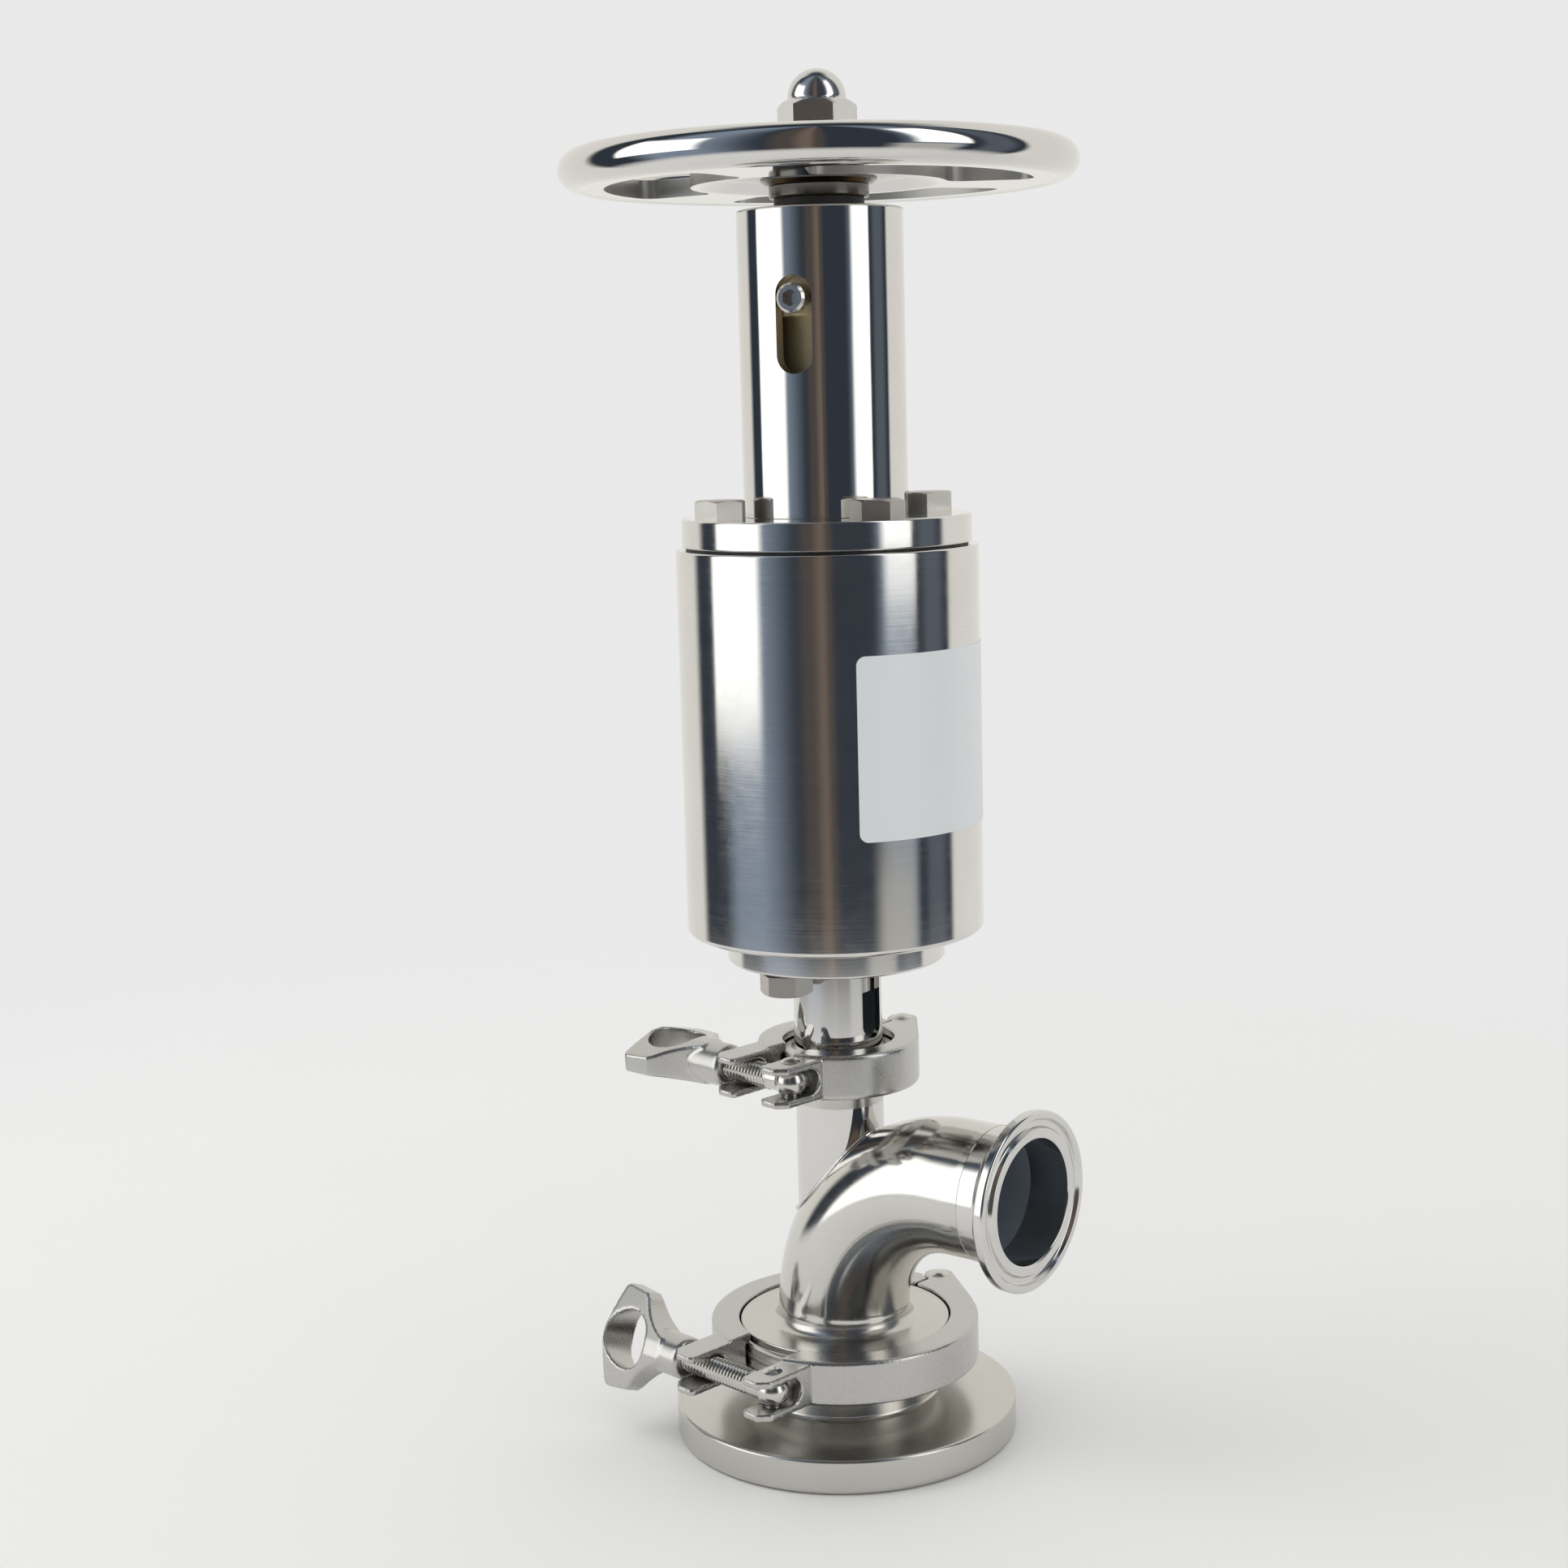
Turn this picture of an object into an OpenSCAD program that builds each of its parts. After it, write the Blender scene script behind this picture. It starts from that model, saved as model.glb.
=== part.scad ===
// Tank-bottom diaphragm valve: vessel pad, elbow body with a clamp ferrule, spring and air actuator,
// and a handwheel override whose follower nut shows in a slotted limit tube.
// Millimetres. Z runs up the stem from the underside of the vessel pad, and X points out of the outlet.

/* [Vessel pad] */
// Radius of the pad's rim
pad_r = 49.65; // [49:0.05:52]
// Height of the pad's rim
pad_t = 10; // [8:0.1:10.2]
// Radius of the opening through the pad
inlet_r = 17.4; // [17.4:0.1:18]

/* [Pipework] */
// Outside radius of the elbow
pipe_r = 19.05; // [18.9:0.05:19.2]
// Wall of the elbow
pipe_wall = 1.55; // [1.2:0.05:2]
// Radius of the elbow's centre line
bend_r = 43; // [42:0.5:44]
// Distance from the stem axis to the outlet's sealing face
outlet_reach = 66.6; // [66:0.1:69]
// Height of the outlet's axis
outlet_z = 80.1; // [79.5:0.1:81]
// Radius of the outlet's clamp flange
outlet_flange_r = 25.25; // [25:0.05:26]

/* [Column and yoke] */
// Outside radius of the column and of the yoke tube
tube_r = 12.7; // [12.5:0.05:12.8]
// Wall of both tubes
tube_wall = 1.65; // [1.2:0.05:1.65]
// Width of the window in the yoke tube
window_w = 8; // [6:0.5:10]
// Height of the window's lower end
window_bottom = 118.5; // [118:0.5:121]

/* [Clamps] */
// Height of both clamp rings
clamp_h = 12.8; // [12:0.1:13]
// Turn of both clamps about the stem axis, in degrees
clamp_turn = -6; // [-12:1:0]
// Mid height of the lower clamp
lower_clamp_z = 27.6; // [27.6:0.1:27.8]
// Outside radius of the lower clamp ring
lower_ring_r = 39; // [38.5:0.1:39.5]
// Mid height of the upper clamp
upper_clamp_z = 110.9; // [110.7:0.1:111]
// Outside radius of the upper clamp ring
upper_ring_r = 23.1; // [22.9:0.1:23.5]
// Radius of the clamps' eye bolts
bolt_r = 3.5; // [3:0.1:3.5]
// Gap between each wing nut and its lug
nut_gap = 1; // [1:0.1:1.5]
// Turn of the lower wing nut about its bolt, in degrees
lower_nut_turn = 69; // [60:1:90]
// Turn of the upper wing nut about its bolt, in degrees
upper_nut_turn = 2.5; // [-15:0.5:15]

/* [Actuator] */
// Radius of the boss under the actuator
boss_r = 31.03; // [30:0.01:33]
// Height of the boss's underside
boss_bottom = 141.1; // [140.9:0.1:141.3]
// Outside radius of the actuator cylinder
cylinder_r = 42.28; // [42:0.01:42.5]
// Wall of the actuator cylinder
cylinder_wall = 3; // [2.7:0.1:3.2]
// Height of the cylinder's lower end
cylinder_bottom = 149.4; // [149.3:0.1:149.6]
// Height of the cylinder's upper end
cylinder_top = 257.06; // [257:0.01:257.2]
// Radius of the top cover
cover_r = 40.46; // [40:0.01:41]
// Height of the top cover's underside
cover_bottom = 258.5; // [258.4:0.1:258.6]
// Thickness of the top cover
cover_t = 8; // [7.5:0.1:8.5]
// Radius of the cover bolts' circle
cover_bolt_circle_r = 32; // [31:0.5:32.5]
// Turn of the cover bolts about the stem axis, in degrees
cover_bolt_turn = -26.6; // [-45:0.1:45]

/* [Limit tube] */
// Outside radius of the limit tube
limit_r = 22.92; // [22.5:0.01:23.1]
// Wall of the limit tube
limit_wall = 5; // [4.8:0.1:5]
// Height of the limit tube's top
limit_top = 349.4; // [349.3:0.1:349.5]
// Direction of the slot, in degrees from the outlet
slot_turn = -71.4; // [-120:0.1:0]
// Width of the slot
slot_w = 10.2; // [9:0.1:11]
// Height of the slot's lower end
slot_bottom = 305.15; // [303:0.05:305.2]
// Height of the slot's upper end
slot_top = 331.2; // [331:0.1:333]

/* [Handwheel] */
// Radius of the rim's centre line
wheel_r = 65.7; // [65:0.1:70]
// Radius of the rim's section
rim_r = 5.3; // [5:0.1:5.5]
// Height of the rim's centre
rim_z = 360.73; // [360.5:0.01:361]
// Inner radius of the openings in the web
web_hole_in = 35; // [34:0.5:38]
// Outer radius of the openings in the web
web_hole_out = 58.5; // [55:0.5:59]
// Angle that each opening covers, in degrees
web_hole_span = 91; // [60:1:95]
// Direction of the first opening, in degrees from the outlet
web_hole_turn = -10; // [-60:1:60]

/* [Hidden] */
$fn = 64;

// Clearances: running fits, working gaps between bodies, and the overrun of a cutting tool
running = 0.05;
working = 0.4;
over = 1;

// Clamped joints
ferrule_back = 20;
lip_depth = 1.9;
gasket_t = 1.4;
ferrule_rim = 2.3;
lower_lip_r = lower_ring_r - 8.1;
upper_lip_r = upper_ring_r - 7.1;
lower_flange_r = lower_lip_r + 1.1;
upper_flange_r = upper_lip_r + 1;
ear_r = 4.4;
ear_t = 3.6;
lug_w = 9;
lug_h = 11.4;
pivot_inset = 3.5;
pivot_pin_r = 2.3;
hinge_pin_r = 2.5;
eye_r = 4.3;
eye_h = 6.2;
thread_engagement = 9;
wing_length = 31.4;
wing_half_t = 6.25;

// Lower clamp: distances from the stem axis
lower_hinge_y = lower_ring_r + 2.5;
lower_pivot_y = -lower_ring_r - 5;
lower_tip_y = lower_pivot_y - 9;
lower_front_in = 10.7;
lower_rear_in = 9.2;

// Upper clamp: distances from the stem axis
upper_hinge_y = upper_ring_r + 4.1;
upper_pivot_y = -upper_ring_r - 3.7;
upper_tip_y = upper_pivot_y - 9.2;
upper_front_in = 3.6;
upper_rear_in = 6.6;

// Pipework
pipe_bore_r = pipe_r - pipe_wall;
tube_bore_r = tube_r - tube_wall;
elbow_foot_z = outlet_z - bend_r;
ferrule_neck = 12.7;
column_drop = 12;

// Stem and plug
stem_r = 5;
plug_r = inlet_r - 0.3;
plug_bottom = 15.3;
plug_top = 24.5;
plug_neck_r = 9;
plug_neck_top = 29;
stem_bottom = 20;
coupler_r = 10.3;
coupler_bottom = 131.5;
coupler_top = 141;
rod_bottom = 135;
boot_gap = 0.7;
boot_r = stem_r + 2.3;
boot_folds = 6;
boot_fold_r = 1.2;
boot_fold_bottom = 82;
boot_fold_pitch = 4;
coupler_pin_r = 1;
coupler_pin_z = coupler_bottom + 2;

// Actuator
cylinder_bore_r = cylinder_r - cylinder_wall;
floor_top = cylinder_bottom + 6;
spigot_r = 22;
rod_r = 8;
rod_top_r = 11;
piston_bottom = 172;
piston_top = 184;
seal_bottom = piston_bottom + 3.5;
seal_top = piston_bottom + 8.5;
seal_groove_r = cylinder_bore_r - 4;
piston_recess_r = 14.5;
piston_web = 178;
end_plate_bottom = 245;
cover_top = cover_bottom + cover_t;
rod_top = 302;
spindle_bore_r = 8.5;
spindle_bore_bottom = 279;
port_turn = -92;
port_circle_r = 22;
port_screw_r = 4;
port_flats = 13;
port_head_h = 5.8;
port_washer_t = 1;
air_way_r = 1.6;
boss_web = 2.4;
guide_r = rod_top_r + 2;
gland_r = rod_top_r + 4;
gland_h = 4;
seal_h = 3.5;
cover_bolt_r = 4;
cover_bolt_flats = 13;
cover_bolt_head_h = 5.3;
cover_bolt_end = end_plate_bottom + 1;
label_turn = -42.4;
label_span = 95;
label_bottom = 181;
label_top = 231;
label_t = 0.15;

// Return spring
spring_r = 28;
spring_wire_r = 3.5;
spring_turns = 4.5;
spring_gap = 0.3;
spring_sides = 8;
spring_steps_per_turn = 20;

// Override screw
screw_r = 8;
spindle_bottom = 286;
spindle_flange_bottom = 335;
journal_bottom = 336.6;
journal_r = 9;
bush_bottom = 338.2;
wiper_top = 352.4;
collar_top = 355.8;
nut_head_r = limit_r - limit_wall - 0.35;
nut_head_bottom = 320.6;
nut_head_top = 332.8;
nut_skirt_r = 13;
nut_skirt_bottom = 296;
guide_screw_z = 325.1;
guide_screw_r = 4;
hub_bottom = 359;
hub_top = 366.4;
hub_r = 17;
web_bottom = 355.8;
web_top = 361;
washer_top = 368;
nut_hex_top = 378.1;
cap_top = 386.8;
dome_r = 8;
key_w = 5;
key_depth = 2.5;
stud_r = 6;
stud_top = nut_hex_top + 2;
guide_screw_root = 10;
guide_socket_flats = 4;

// Rounds off one corner of a flat profile: inward points from the corner into the profile
module round_off(corner, r, inward) {
    translate(corner)
        difference() {
            translate([inward[0] > 0 ? -over : -r, inward[1] > 0 ? -over : -r])
                square(r + over);
            translate(inward * r) circle(r);
        }
}

// Cylinder between two heights
module post(r, bottom, top) {
    translate([0, 0, bottom]) cylinder(r = r, h = top - bottom);
}

// Tube between two heights
module sleeve(r, bore, bottom, top) {
    difference() {
        post(r, bottom, top);
        post(bore, bottom - over, top + over);
    }
}

// Hexagon across its flats, between two heights, with its upper corners turned off
module hex_head(flats, bottom, top) {
    corner_r = flats / sqrt(3);
    intersection() {
        translate([0, 0, bottom]) cylinder(r = corner_r, h = top - bottom, $fn = 6);
        translate([0, 0, bottom])
            rotate_extrude()
                polygon([
                    [0, 0], [corner_r + over, 0], [corner_r + over, top - bottom - 1.2],
                    [flats / 2 - 0.3, top - bottom], [0, top - bottom]
                ]);
    }
}

// Half of a clamped ferrule joint: the mating face is at z = 0 and the neck goes up
module ferrule(flange_r, body_r, body_top, neck_r, neck_top, bore) {
    rotate_extrude()
        difference() {
            polygon([
                [bore, 0], [flange_r - 0.3, 0], [flange_r, 0.3], [flange_r, ferrule_rim],
                [body_r, ferrule_rim + (flange_r - body_r) * tan(ferrule_back)],
                [body_r, body_top - 0.4], [body_r - 0.4, body_top], [neck_r + 3, body_top],
                [neck_r, body_top + 3], [neck_r, neck_top], [bore, neck_top]
            ]);
            translate([neck_r + 3, body_top + 3]) circle(3);
        }
}

// Vessel pad with the tank side of the lower clamped joint
module tank_pad() {
    joint_z = lower_clamp_z - gasket_t / 2;
    color("silver")
        rotate_extrude()
            difference() {
                polygon([
                    [inlet_r, 0.6], [inlet_r + 0.6, 0], [pad_r - 2, 0], [pad_r, 2], [pad_r, pad_t],
                    [lower_lip_r - 4, pad_t + 2], [lower_lip_r - 4, joint_z - 6],
                    [lower_lip_r - 0.4, joint_z - 6], [lower_lip_r - 0.4, joint_z - 2.9],
                    [lower_flange_r, joint_z - ferrule_rim], [lower_flange_r, joint_z],
                    [inlet_r, joint_z]
                ]);
                round_off([pad_r, pad_t], 0.8, [-1, -1]);
            }
}

module pad_gasket() {
    color("whitesmoke")
        sleeve(lower_flange_r - 1, inlet_r, lower_clamp_z - gasket_t / 2, lower_clamp_z + gasket_t / 2);
}

module lower_ferrule() {
    joint_z = lower_clamp_z + gasket_t / 2;
    color("lightgray")
        translate([0, 0, joint_z])
            ferrule(lower_flange_r, lower_lip_r - 0.4, 5, pipe_r, elbow_foot_z - joint_z, inlet_r);
}

// Quarter turn of a pipe's section, from the vertical foot to the horizontal outlet
module bend() {
    translate([bend_r, 0, elbow_foot_z])
        rotate([90, 0, 0])
            rotate([0, 0, 90])
                rotate_extrude(angle = 90, $fn = 96)
                    translate([bend_r, 0])
                        rotate(180)
                            children();
}

module outlet_elbow() {
    stub_end = outlet_reach - ferrule_neck;
    color("gainsboro") {
        difference() {
            bend()
                difference() {
                    circle(pipe_r);
                    circle(pipe_bore_r);
                }
            post(tube_bore_r, elbow_foot_z + bend_r / 2, outlet_z + pipe_r);
        }
        translate([bend_r, 0, outlet_z])
            rotate([0, 90, 0])
                sleeve(pipe_r, pipe_bore_r, 0, stub_end - bend_r);
    }
}

module outlet_ferrule() {
    flange_back = ferrule_rim + 0.55;
    root_r = pipe_r + 2;
    color("gainsboro")
        translate([outlet_reach, 0, outlet_z])
            rotate([0, -90, 0])
                rotate_extrude()
                    difference() {
                        polygon([
                            [pipe_bore_r, 0], [outlet_flange_r, 0], [outlet_flange_r, flange_back],
                            [root_r, flange_back + (outlet_flange_r - root_r) * tan(ferrule_back)],
                            [pipe_r, flange_back + 4.5], [pipe_r, ferrule_neck],
                            [pipe_bore_r, ferrule_neck]
                        ]);
                        translate([(pipe_bore_r + outlet_flange_r) / 2 + 0.4, 0]) circle(1.3);
                        round_off([outlet_flange_r, 0], 0.7, [-1, 1]);
                        round_off([outlet_flange_r, flange_back], 0.7, [-1, -1]);
                    }
}

// Column that carries the stem out of the elbow, cut to the elbow's outside
module column_tube() {
    color("gainsboro")
        difference() {
            sleeve(tube_r, tube_bore_r, elbow_foot_z + bend_r / 2, upper_clamp_z - column_drop);
            bend() circle(pipe_r);
        }
}

module column_ferrule() {
    color("lightgray")
        translate([0, 0, upper_clamp_z - gasket_t / 2])
            mirror([0, 0, 1])
                ferrule(
                    upper_flange_r, upper_lip_r - 0.4, 4.5, tube_r, column_drop - gasket_t / 2,
                    tube_bore_r);
}

// Flange of the yoke tube: it has no neck, so a shadow gap shows between the tube and the clamp
module yoke_ferrule() {
    color("lightgray")
        translate([0, 0, upper_clamp_z + gasket_t / 2])
            rotate_extrude()
                polygon([
                    [tube_r, 0], [upper_flange_r - 0.3, 0], [upper_flange_r, 0.3],
                    [upper_flange_r, ferrule_rim], [upper_lip_r - 0.4, ferrule_rim + 0.6],
                    [tube_r + 1, ferrule_rim + 0.6], [tube_r, ferrule_rim + 1.6]
                ]);
}

// Upright tube with a leak window that faces the outlet
module yoke_tube() {
    color("gainsboro")
        difference() {
            sleeve(tube_r, tube_bore_r, upper_clamp_z + gasket_t / 2, boss_bottom);
            translate([0, -window_w / 2, window_bottom + window_w / 2])
                cube([tube_r + over, window_w, boss_bottom - window_bottom - window_w - 1.5]);
            for (z = [window_bottom + window_w / 2, boss_bottom - window_w / 2 - 1.5])
                translate([0, 0, z])
                    rotate([0, 90, 0])
                        cylinder(r = window_w / 2, h = tube_r + over);
        }
}

module stem_guide_bush() {
    color("white")
        sleeve(tube_bore_r, stem_r + running, upper_clamp_z + gasket_t / 2, upper_clamp_z + 5);
}

// Sleeve diaphragm: its flange seals the upper clamped joint, and its foot is bonded to the plug
module diaphragm() {
    color("dimgray")
        rotate_extrude()
            union() {
                polygon([
                    [stem_r + boot_gap, plug_neck_top], [boot_r, plug_neck_top],
                    [boot_r, upper_clamp_z - gasket_t / 2 - 2],
                    [boot_r + 2.2, upper_clamp_z - gasket_t / 2],
                    [upper_flange_r - 1, upper_clamp_z - gasket_t / 2],
                    [upper_flange_r - 1, upper_clamp_z + gasket_t / 2],
                    [stem_r + boot_gap, upper_clamp_z + gasket_t / 2]
                ]);
                for (i = [0 : boot_folds - 1])
                    translate([boot_r, boot_fold_bottom + boot_fold_pitch * i]) circle(boot_fold_r);
            }
}

// Moulded tip that closes the opening of the pad
module plug_head() {
    color("dimgray")
        difference() {
            rotate_extrude()
                difference() {
                    polygon([
                        [0, plug_bottom], [plug_r - 1, plug_bottom], [plug_r, plug_bottom + 2],
                        [plug_r, plug_bottom + 4.5], [plug_neck_r + 1, plug_top],
                        [plug_neck_r, plug_neck_top - 1.5], [plug_neck_r - 1.5, plug_neck_top],
                        [0, plug_neck_top]
                    ]);
                    translate([plug_r + 0.4, plug_bottom + 3.2]) circle(0.8);
                }
            post(stem_r, stem_bottom, plug_neck_top + over);
        }
}

module valve_stem() {
    color("silver") post(stem_r, stem_bottom, rod_bottom);
}

module stem_coupler() {
    color("silver")
        difference() {
            post(coupler_r, coupler_bottom, coupler_top);
            post(stem_r, coupler_bottom - over, rod_bottom);
            post(rod_r, rod_bottom, coupler_top + over);
            translate([0, 0, coupler_pin_z])
                rotate([90, 0, 0])
                    cylinder(r = coupler_pin_r, h = 4 * coupler_r, center = true);
        }
}

// Cross pin of the coupler, in two lengths that stop at the stem
module coupler_pin() {
    color("dimgray")
        for (side = [0, 180])
            rotate([0, 0, side])
                translate([0, stem_r, coupler_pin_z])
                    rotate([-90, 0, 0])
                        cylinder(r = coupler_pin_r, h = coupler_r - stem_r - 0.3);
}

// Places a clamp part: z = 0 is the clamp's mid plane, its bolt side faces -Y and its front half +X
module on_clamp(mid_z) {
    translate([0, 0, mid_z])
        rotate([0, 0, clamp_turn])
            children();
}

// Whole ring with the groove that squeezes the two ferrules
module clamp_ring(ring_r, lip_r) {
    groove_r = lip_r + lip_depth;
    groove_half = 3.2;
    lip_half = groove_half + lip_depth * tan(ferrule_back);
    half = clamp_h / 2;
    rotate_extrude()
        difference() {
            polygon([
                [lip_r, half], [ring_r, half], [ring_r, -half], [lip_r, -half], [lip_r, -lip_half],
                [groove_r, -groove_half], [groove_r, groove_half], [lip_r, lip_half]
            ]);
            round_off([ring_r, half], 0.8, [-1, -1]);
            round_off([ring_r, -half], 0.8, [-1, 1]);
        }
}

// Flat outline of a hinge ear, tangent to the outside of the ring
module ear_outline(ring_r, hinge_y) {
    turn = acos((ring_r - ear_r) / hinge_y);
    normal = [sin(turn), cos(turn)];
    translate([0, hinge_y]) circle(ear_r);
    polygon([
        [0, hinge_y], [0, hinge_y] + ear_r * normal, ring_r * normal, (ring_r - 4) * normal,
        [working, ring_r - 4]
    ]);
}

// Slotted lug on the bolt side, for the half on +X
module clamp_lug(ring_r, lip_r, tip_y, inner, slot_end_y, slot_half) {
    root_y = -sqrt(pow(lip_r + lip_depth + 0.5, 2) - pow(inner, 2));
    outer = inner + lug_w;
    difference() {
        translate([0, 0, -lug_h / 2])
            linear_extrude(lug_h)
                polygon([
                    [inner, root_y], [inner, tip_y + 1], [inner + 1, tip_y], [outer - 3, tip_y],
                    [outer, tip_y + 3], [outer, -sqrt(pow(ring_r - 1, 2) - pow(outer, 2))]
                ]);
        translate([0, tip_y - over, -slot_half])
            cube([outer + over, slot_end_y - slot_half - tip_y + over, 2 * slot_half]);
        translate([0, slot_end_y - slot_half, 0])
            rotate([0, 90, 0])
                cylinder(r = slot_half, h = outer + over);
    }
}

// Front half: two hinge ears, and the lug that carries the eye bolt's pivot
module clamp_front(ring_r, lip_r, hinge_y, pivot_y, tip_y, front_in) {
    half = clamp_h / 2;
    reach = ring_r + over;
    difference() {
        union() {
            intersection() {
                clamp_ring(ring_r, lip_r);
                union() {
                    translate([working, 0, -half]) cube([reach, reach, clamp_h]);
                    translate([front_in, -reach, -half]) cube([reach, reach + over, clamp_h]);
                }
            }
            for (z = [-half, half - ear_t])
                translate([0, 0, z])
                    linear_extrude(ear_t)
                        ear_outline(ring_r, hinge_y);
            clamp_lug(ring_r, lip_r, tip_y, front_in, pivot_y + 6, 3.7);
        }
        translate([0, hinge_y, ear_t - half]) cylinder(r = ear_r + working, h = clamp_h - 2 * ear_t);
        translate([0, hinge_y, -half - over]) cylinder(r = hinge_pin_r, h = clamp_h + 2 * over);
        translate([front_in + pivot_inset, pivot_y, -half]) cylinder(r = pivot_pin_r, h = clamp_h);
    }
}

// Rear half: one hinge tongue, and the open lug that the wing nut bears on
module clamp_rear(ring_r, lip_r, hinge_y, pivot_y, tip_y, rear_in) {
    half = clamp_h / 2;
    reach = ring_r + over;
    tongue_half = half - ear_t - 0.2;
    mirror([1, 0, 0])
        difference() {
            union() {
                intersection() {
                    clamp_ring(ring_r, lip_r);
                    union() {
                        translate([working, 0, -half]) cube([reach, reach, clamp_h]);
                        translate([rear_in, -reach, -half]) cube([reach, reach + over, clamp_h]);
                    }
                }
                translate([0, 0, -tongue_half])
                    linear_extrude(2 * tongue_half)
                        ear_outline(ring_r, hinge_y);
                clamp_lug(ring_r, lip_r, tip_y, rear_in, pivot_y + 4.3, 3.9);
            }
            for (z = [-half - over, half - ear_t - 0.2])
                translate([0, hinge_y, z])
                    cylinder(r = ear_r + working, h = ear_t + 0.2 + over);
            translate([0, hinge_y, -half]) cylinder(r = hinge_pin_r, h = clamp_h);
        }
}

// Rivet with a low domed head at both ends, centred on the clamp's mid plane
module rivet(r, head_r, grip) {
    dome_h = 1.1;
    dome_ball = (head_r * head_r + dome_h * dome_h) / (2 * dome_h);
    cylinder(r = r, h = grip, center = true);
    for (end = [0, 1])
        mirror([0, 0, end])
            intersection() {
                translate([0, 0, grip / 2]) cylinder(r = head_r, h = dome_h);
                translate([0, 0, grip / 2 + dome_h - dome_ball]) sphere(dome_ball);
            }
}

// Eye bolt that points towards -X from its eye
module eye_bolt(length) {
    difference() {
        union() {
            cylinder(r = eye_r, h = eye_h, center = true);
            rotate([0, -90, 0]) cylinder(r = bolt_r, h = length);
        }
        cylinder(r = pivot_pin_r + running, h = 3 * eye_h, center = true);
    }
}

// Flat outline of the wing nut's head: a slightly bowed end, two blunt tips and two hollow flanks
module wing_outline() {
    end_r = 66;
    flank_r = 19.8;
    difference() {
        intersection() {
            translate([wing_length - end_r, 0]) circle(end_r, $fn = 192);
            polygon([
                [7.5, -13.1], [wing_length, -15.6], [wing_length, 15.6], [7.5, 13.1]
            ]);
        }
        for (side = [-1, 1])
            translate([1.7, 22.8 * side]) circle(flank_r);
    }
}

// Wing nut: its seat is at x = 0, it points towards -X, and its eye runs along Z
module wing_nut() {
    hub_r = 6.2;
    hub_length = 12;
    eye_x = 22.5;
    eye_hole_r = 8.4;
    tip_half = 2.3;
    mirror([1, 0, 0])
        difference() {
            union() {
                rotate([0, 90, 0]) cylinder(r1 = hub_r - 0.6, r2 = hub_r, h = 1);
                translate([1, 0, 0]) rotate([0, 90, 0]) cylinder(r = hub_r, h = hub_length - 1);
                intersection() {
                    translate([0, 0, -wing_half_t]) linear_extrude(2 * wing_half_t) wing_outline();
                    rotate([90, 0, 90])
                        linear_extrude(wing_length + over)
                            polygon([
                                [-2, -wing_half_t], [2, -wing_half_t], [15.6, -tip_half], [15.6, tip_half],
                                [2, wing_half_t], [-2, wing_half_t], [-15.6, tip_half], [-15.6, -tip_half]
                            ]);
                }
            }
            translate([eye_x, 0, -wing_half_t - over])
                cylinder(r = eye_hole_r, h = 2 * (wing_half_t + over));
            translate([-over, 0, 0])
                rotate([0, 90, 0])
                    cylinder(r = bolt_r + running, h = thread_engagement + 1.5 + over);
        }
}

// Distance from an eye bolt's pivot to the seat of its nut
function nut_reach(front_in, rear_in) = front_in + pivot_inset + rear_in + lug_w + nut_gap;

module lower_clamp_front() {
    color("darkgray")
        on_clamp(lower_clamp_z)
            clamp_front(
                lower_ring_r, lower_lip_r, lower_hinge_y, lower_pivot_y, lower_tip_y, lower_front_in);
}

module lower_clamp_rear() {
    color("darkgray")
        on_clamp(lower_clamp_z)
            clamp_rear(lower_ring_r, lower_lip_r, lower_hinge_y, lower_pivot_y, lower_tip_y, lower_rear_in);
}

module lower_hinge_pin() {
    color("silver")
        on_clamp(lower_clamp_z)
            translate([0, lower_hinge_y, 0]) rivet(hinge_pin_r, 3.1, clamp_h);
}

module lower_pivot_pin() {
    color("silver")
        on_clamp(lower_clamp_z)
            translate([lower_front_in + pivot_inset, lower_pivot_y, 0]) rivet(pivot_pin_r, 2.9, lug_h);
}

module lower_eye_bolt() {
    color("silver")
        on_clamp(lower_clamp_z)
            translate([lower_front_in + pivot_inset, lower_pivot_y, 0])
                eye_bolt(nut_reach(lower_front_in, lower_rear_in) + thread_engagement);
}

module lower_wing_nut() {
    color("darkgray")
        on_clamp(lower_clamp_z)
            translate([-lower_rear_in - lug_w - nut_gap, lower_pivot_y, 0])
                rotate([lower_nut_turn, 0, 0]) wing_nut();
}

module upper_clamp_front() {
    color("darkgray")
        on_clamp(upper_clamp_z)
            clamp_front(
                upper_ring_r, upper_lip_r, upper_hinge_y, upper_pivot_y, upper_tip_y, upper_front_in);
}

module upper_clamp_rear() {
    color("darkgray")
        on_clamp(upper_clamp_z)
            clamp_rear(upper_ring_r, upper_lip_r, upper_hinge_y, upper_pivot_y, upper_tip_y, upper_rear_in);
}

module upper_hinge_pin() {
    color("silver")
        on_clamp(upper_clamp_z)
            translate([0, upper_hinge_y, 0]) rivet(hinge_pin_r, 3.1, clamp_h);
}

module upper_pivot_pin() {
    color("silver")
        on_clamp(upper_clamp_z)
            translate([upper_front_in + pivot_inset, upper_pivot_y, 0]) rivet(pivot_pin_r, 2.9, lug_h);
}

module upper_eye_bolt() {
    color("silver")
        on_clamp(upper_clamp_z)
            translate([upper_front_in + pivot_inset, upper_pivot_y, 0])
                eye_bolt(nut_reach(upper_front_in, upper_rear_in) + thread_engagement);
}

module upper_wing_nut() {
    color("darkgray")
        on_clamp(upper_clamp_z)
            translate([-upper_rear_in - lug_w - nut_gap, upper_pivot_y, 0])
                rotate([upper_nut_turn, 0, 0]) wing_nut();
}

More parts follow.
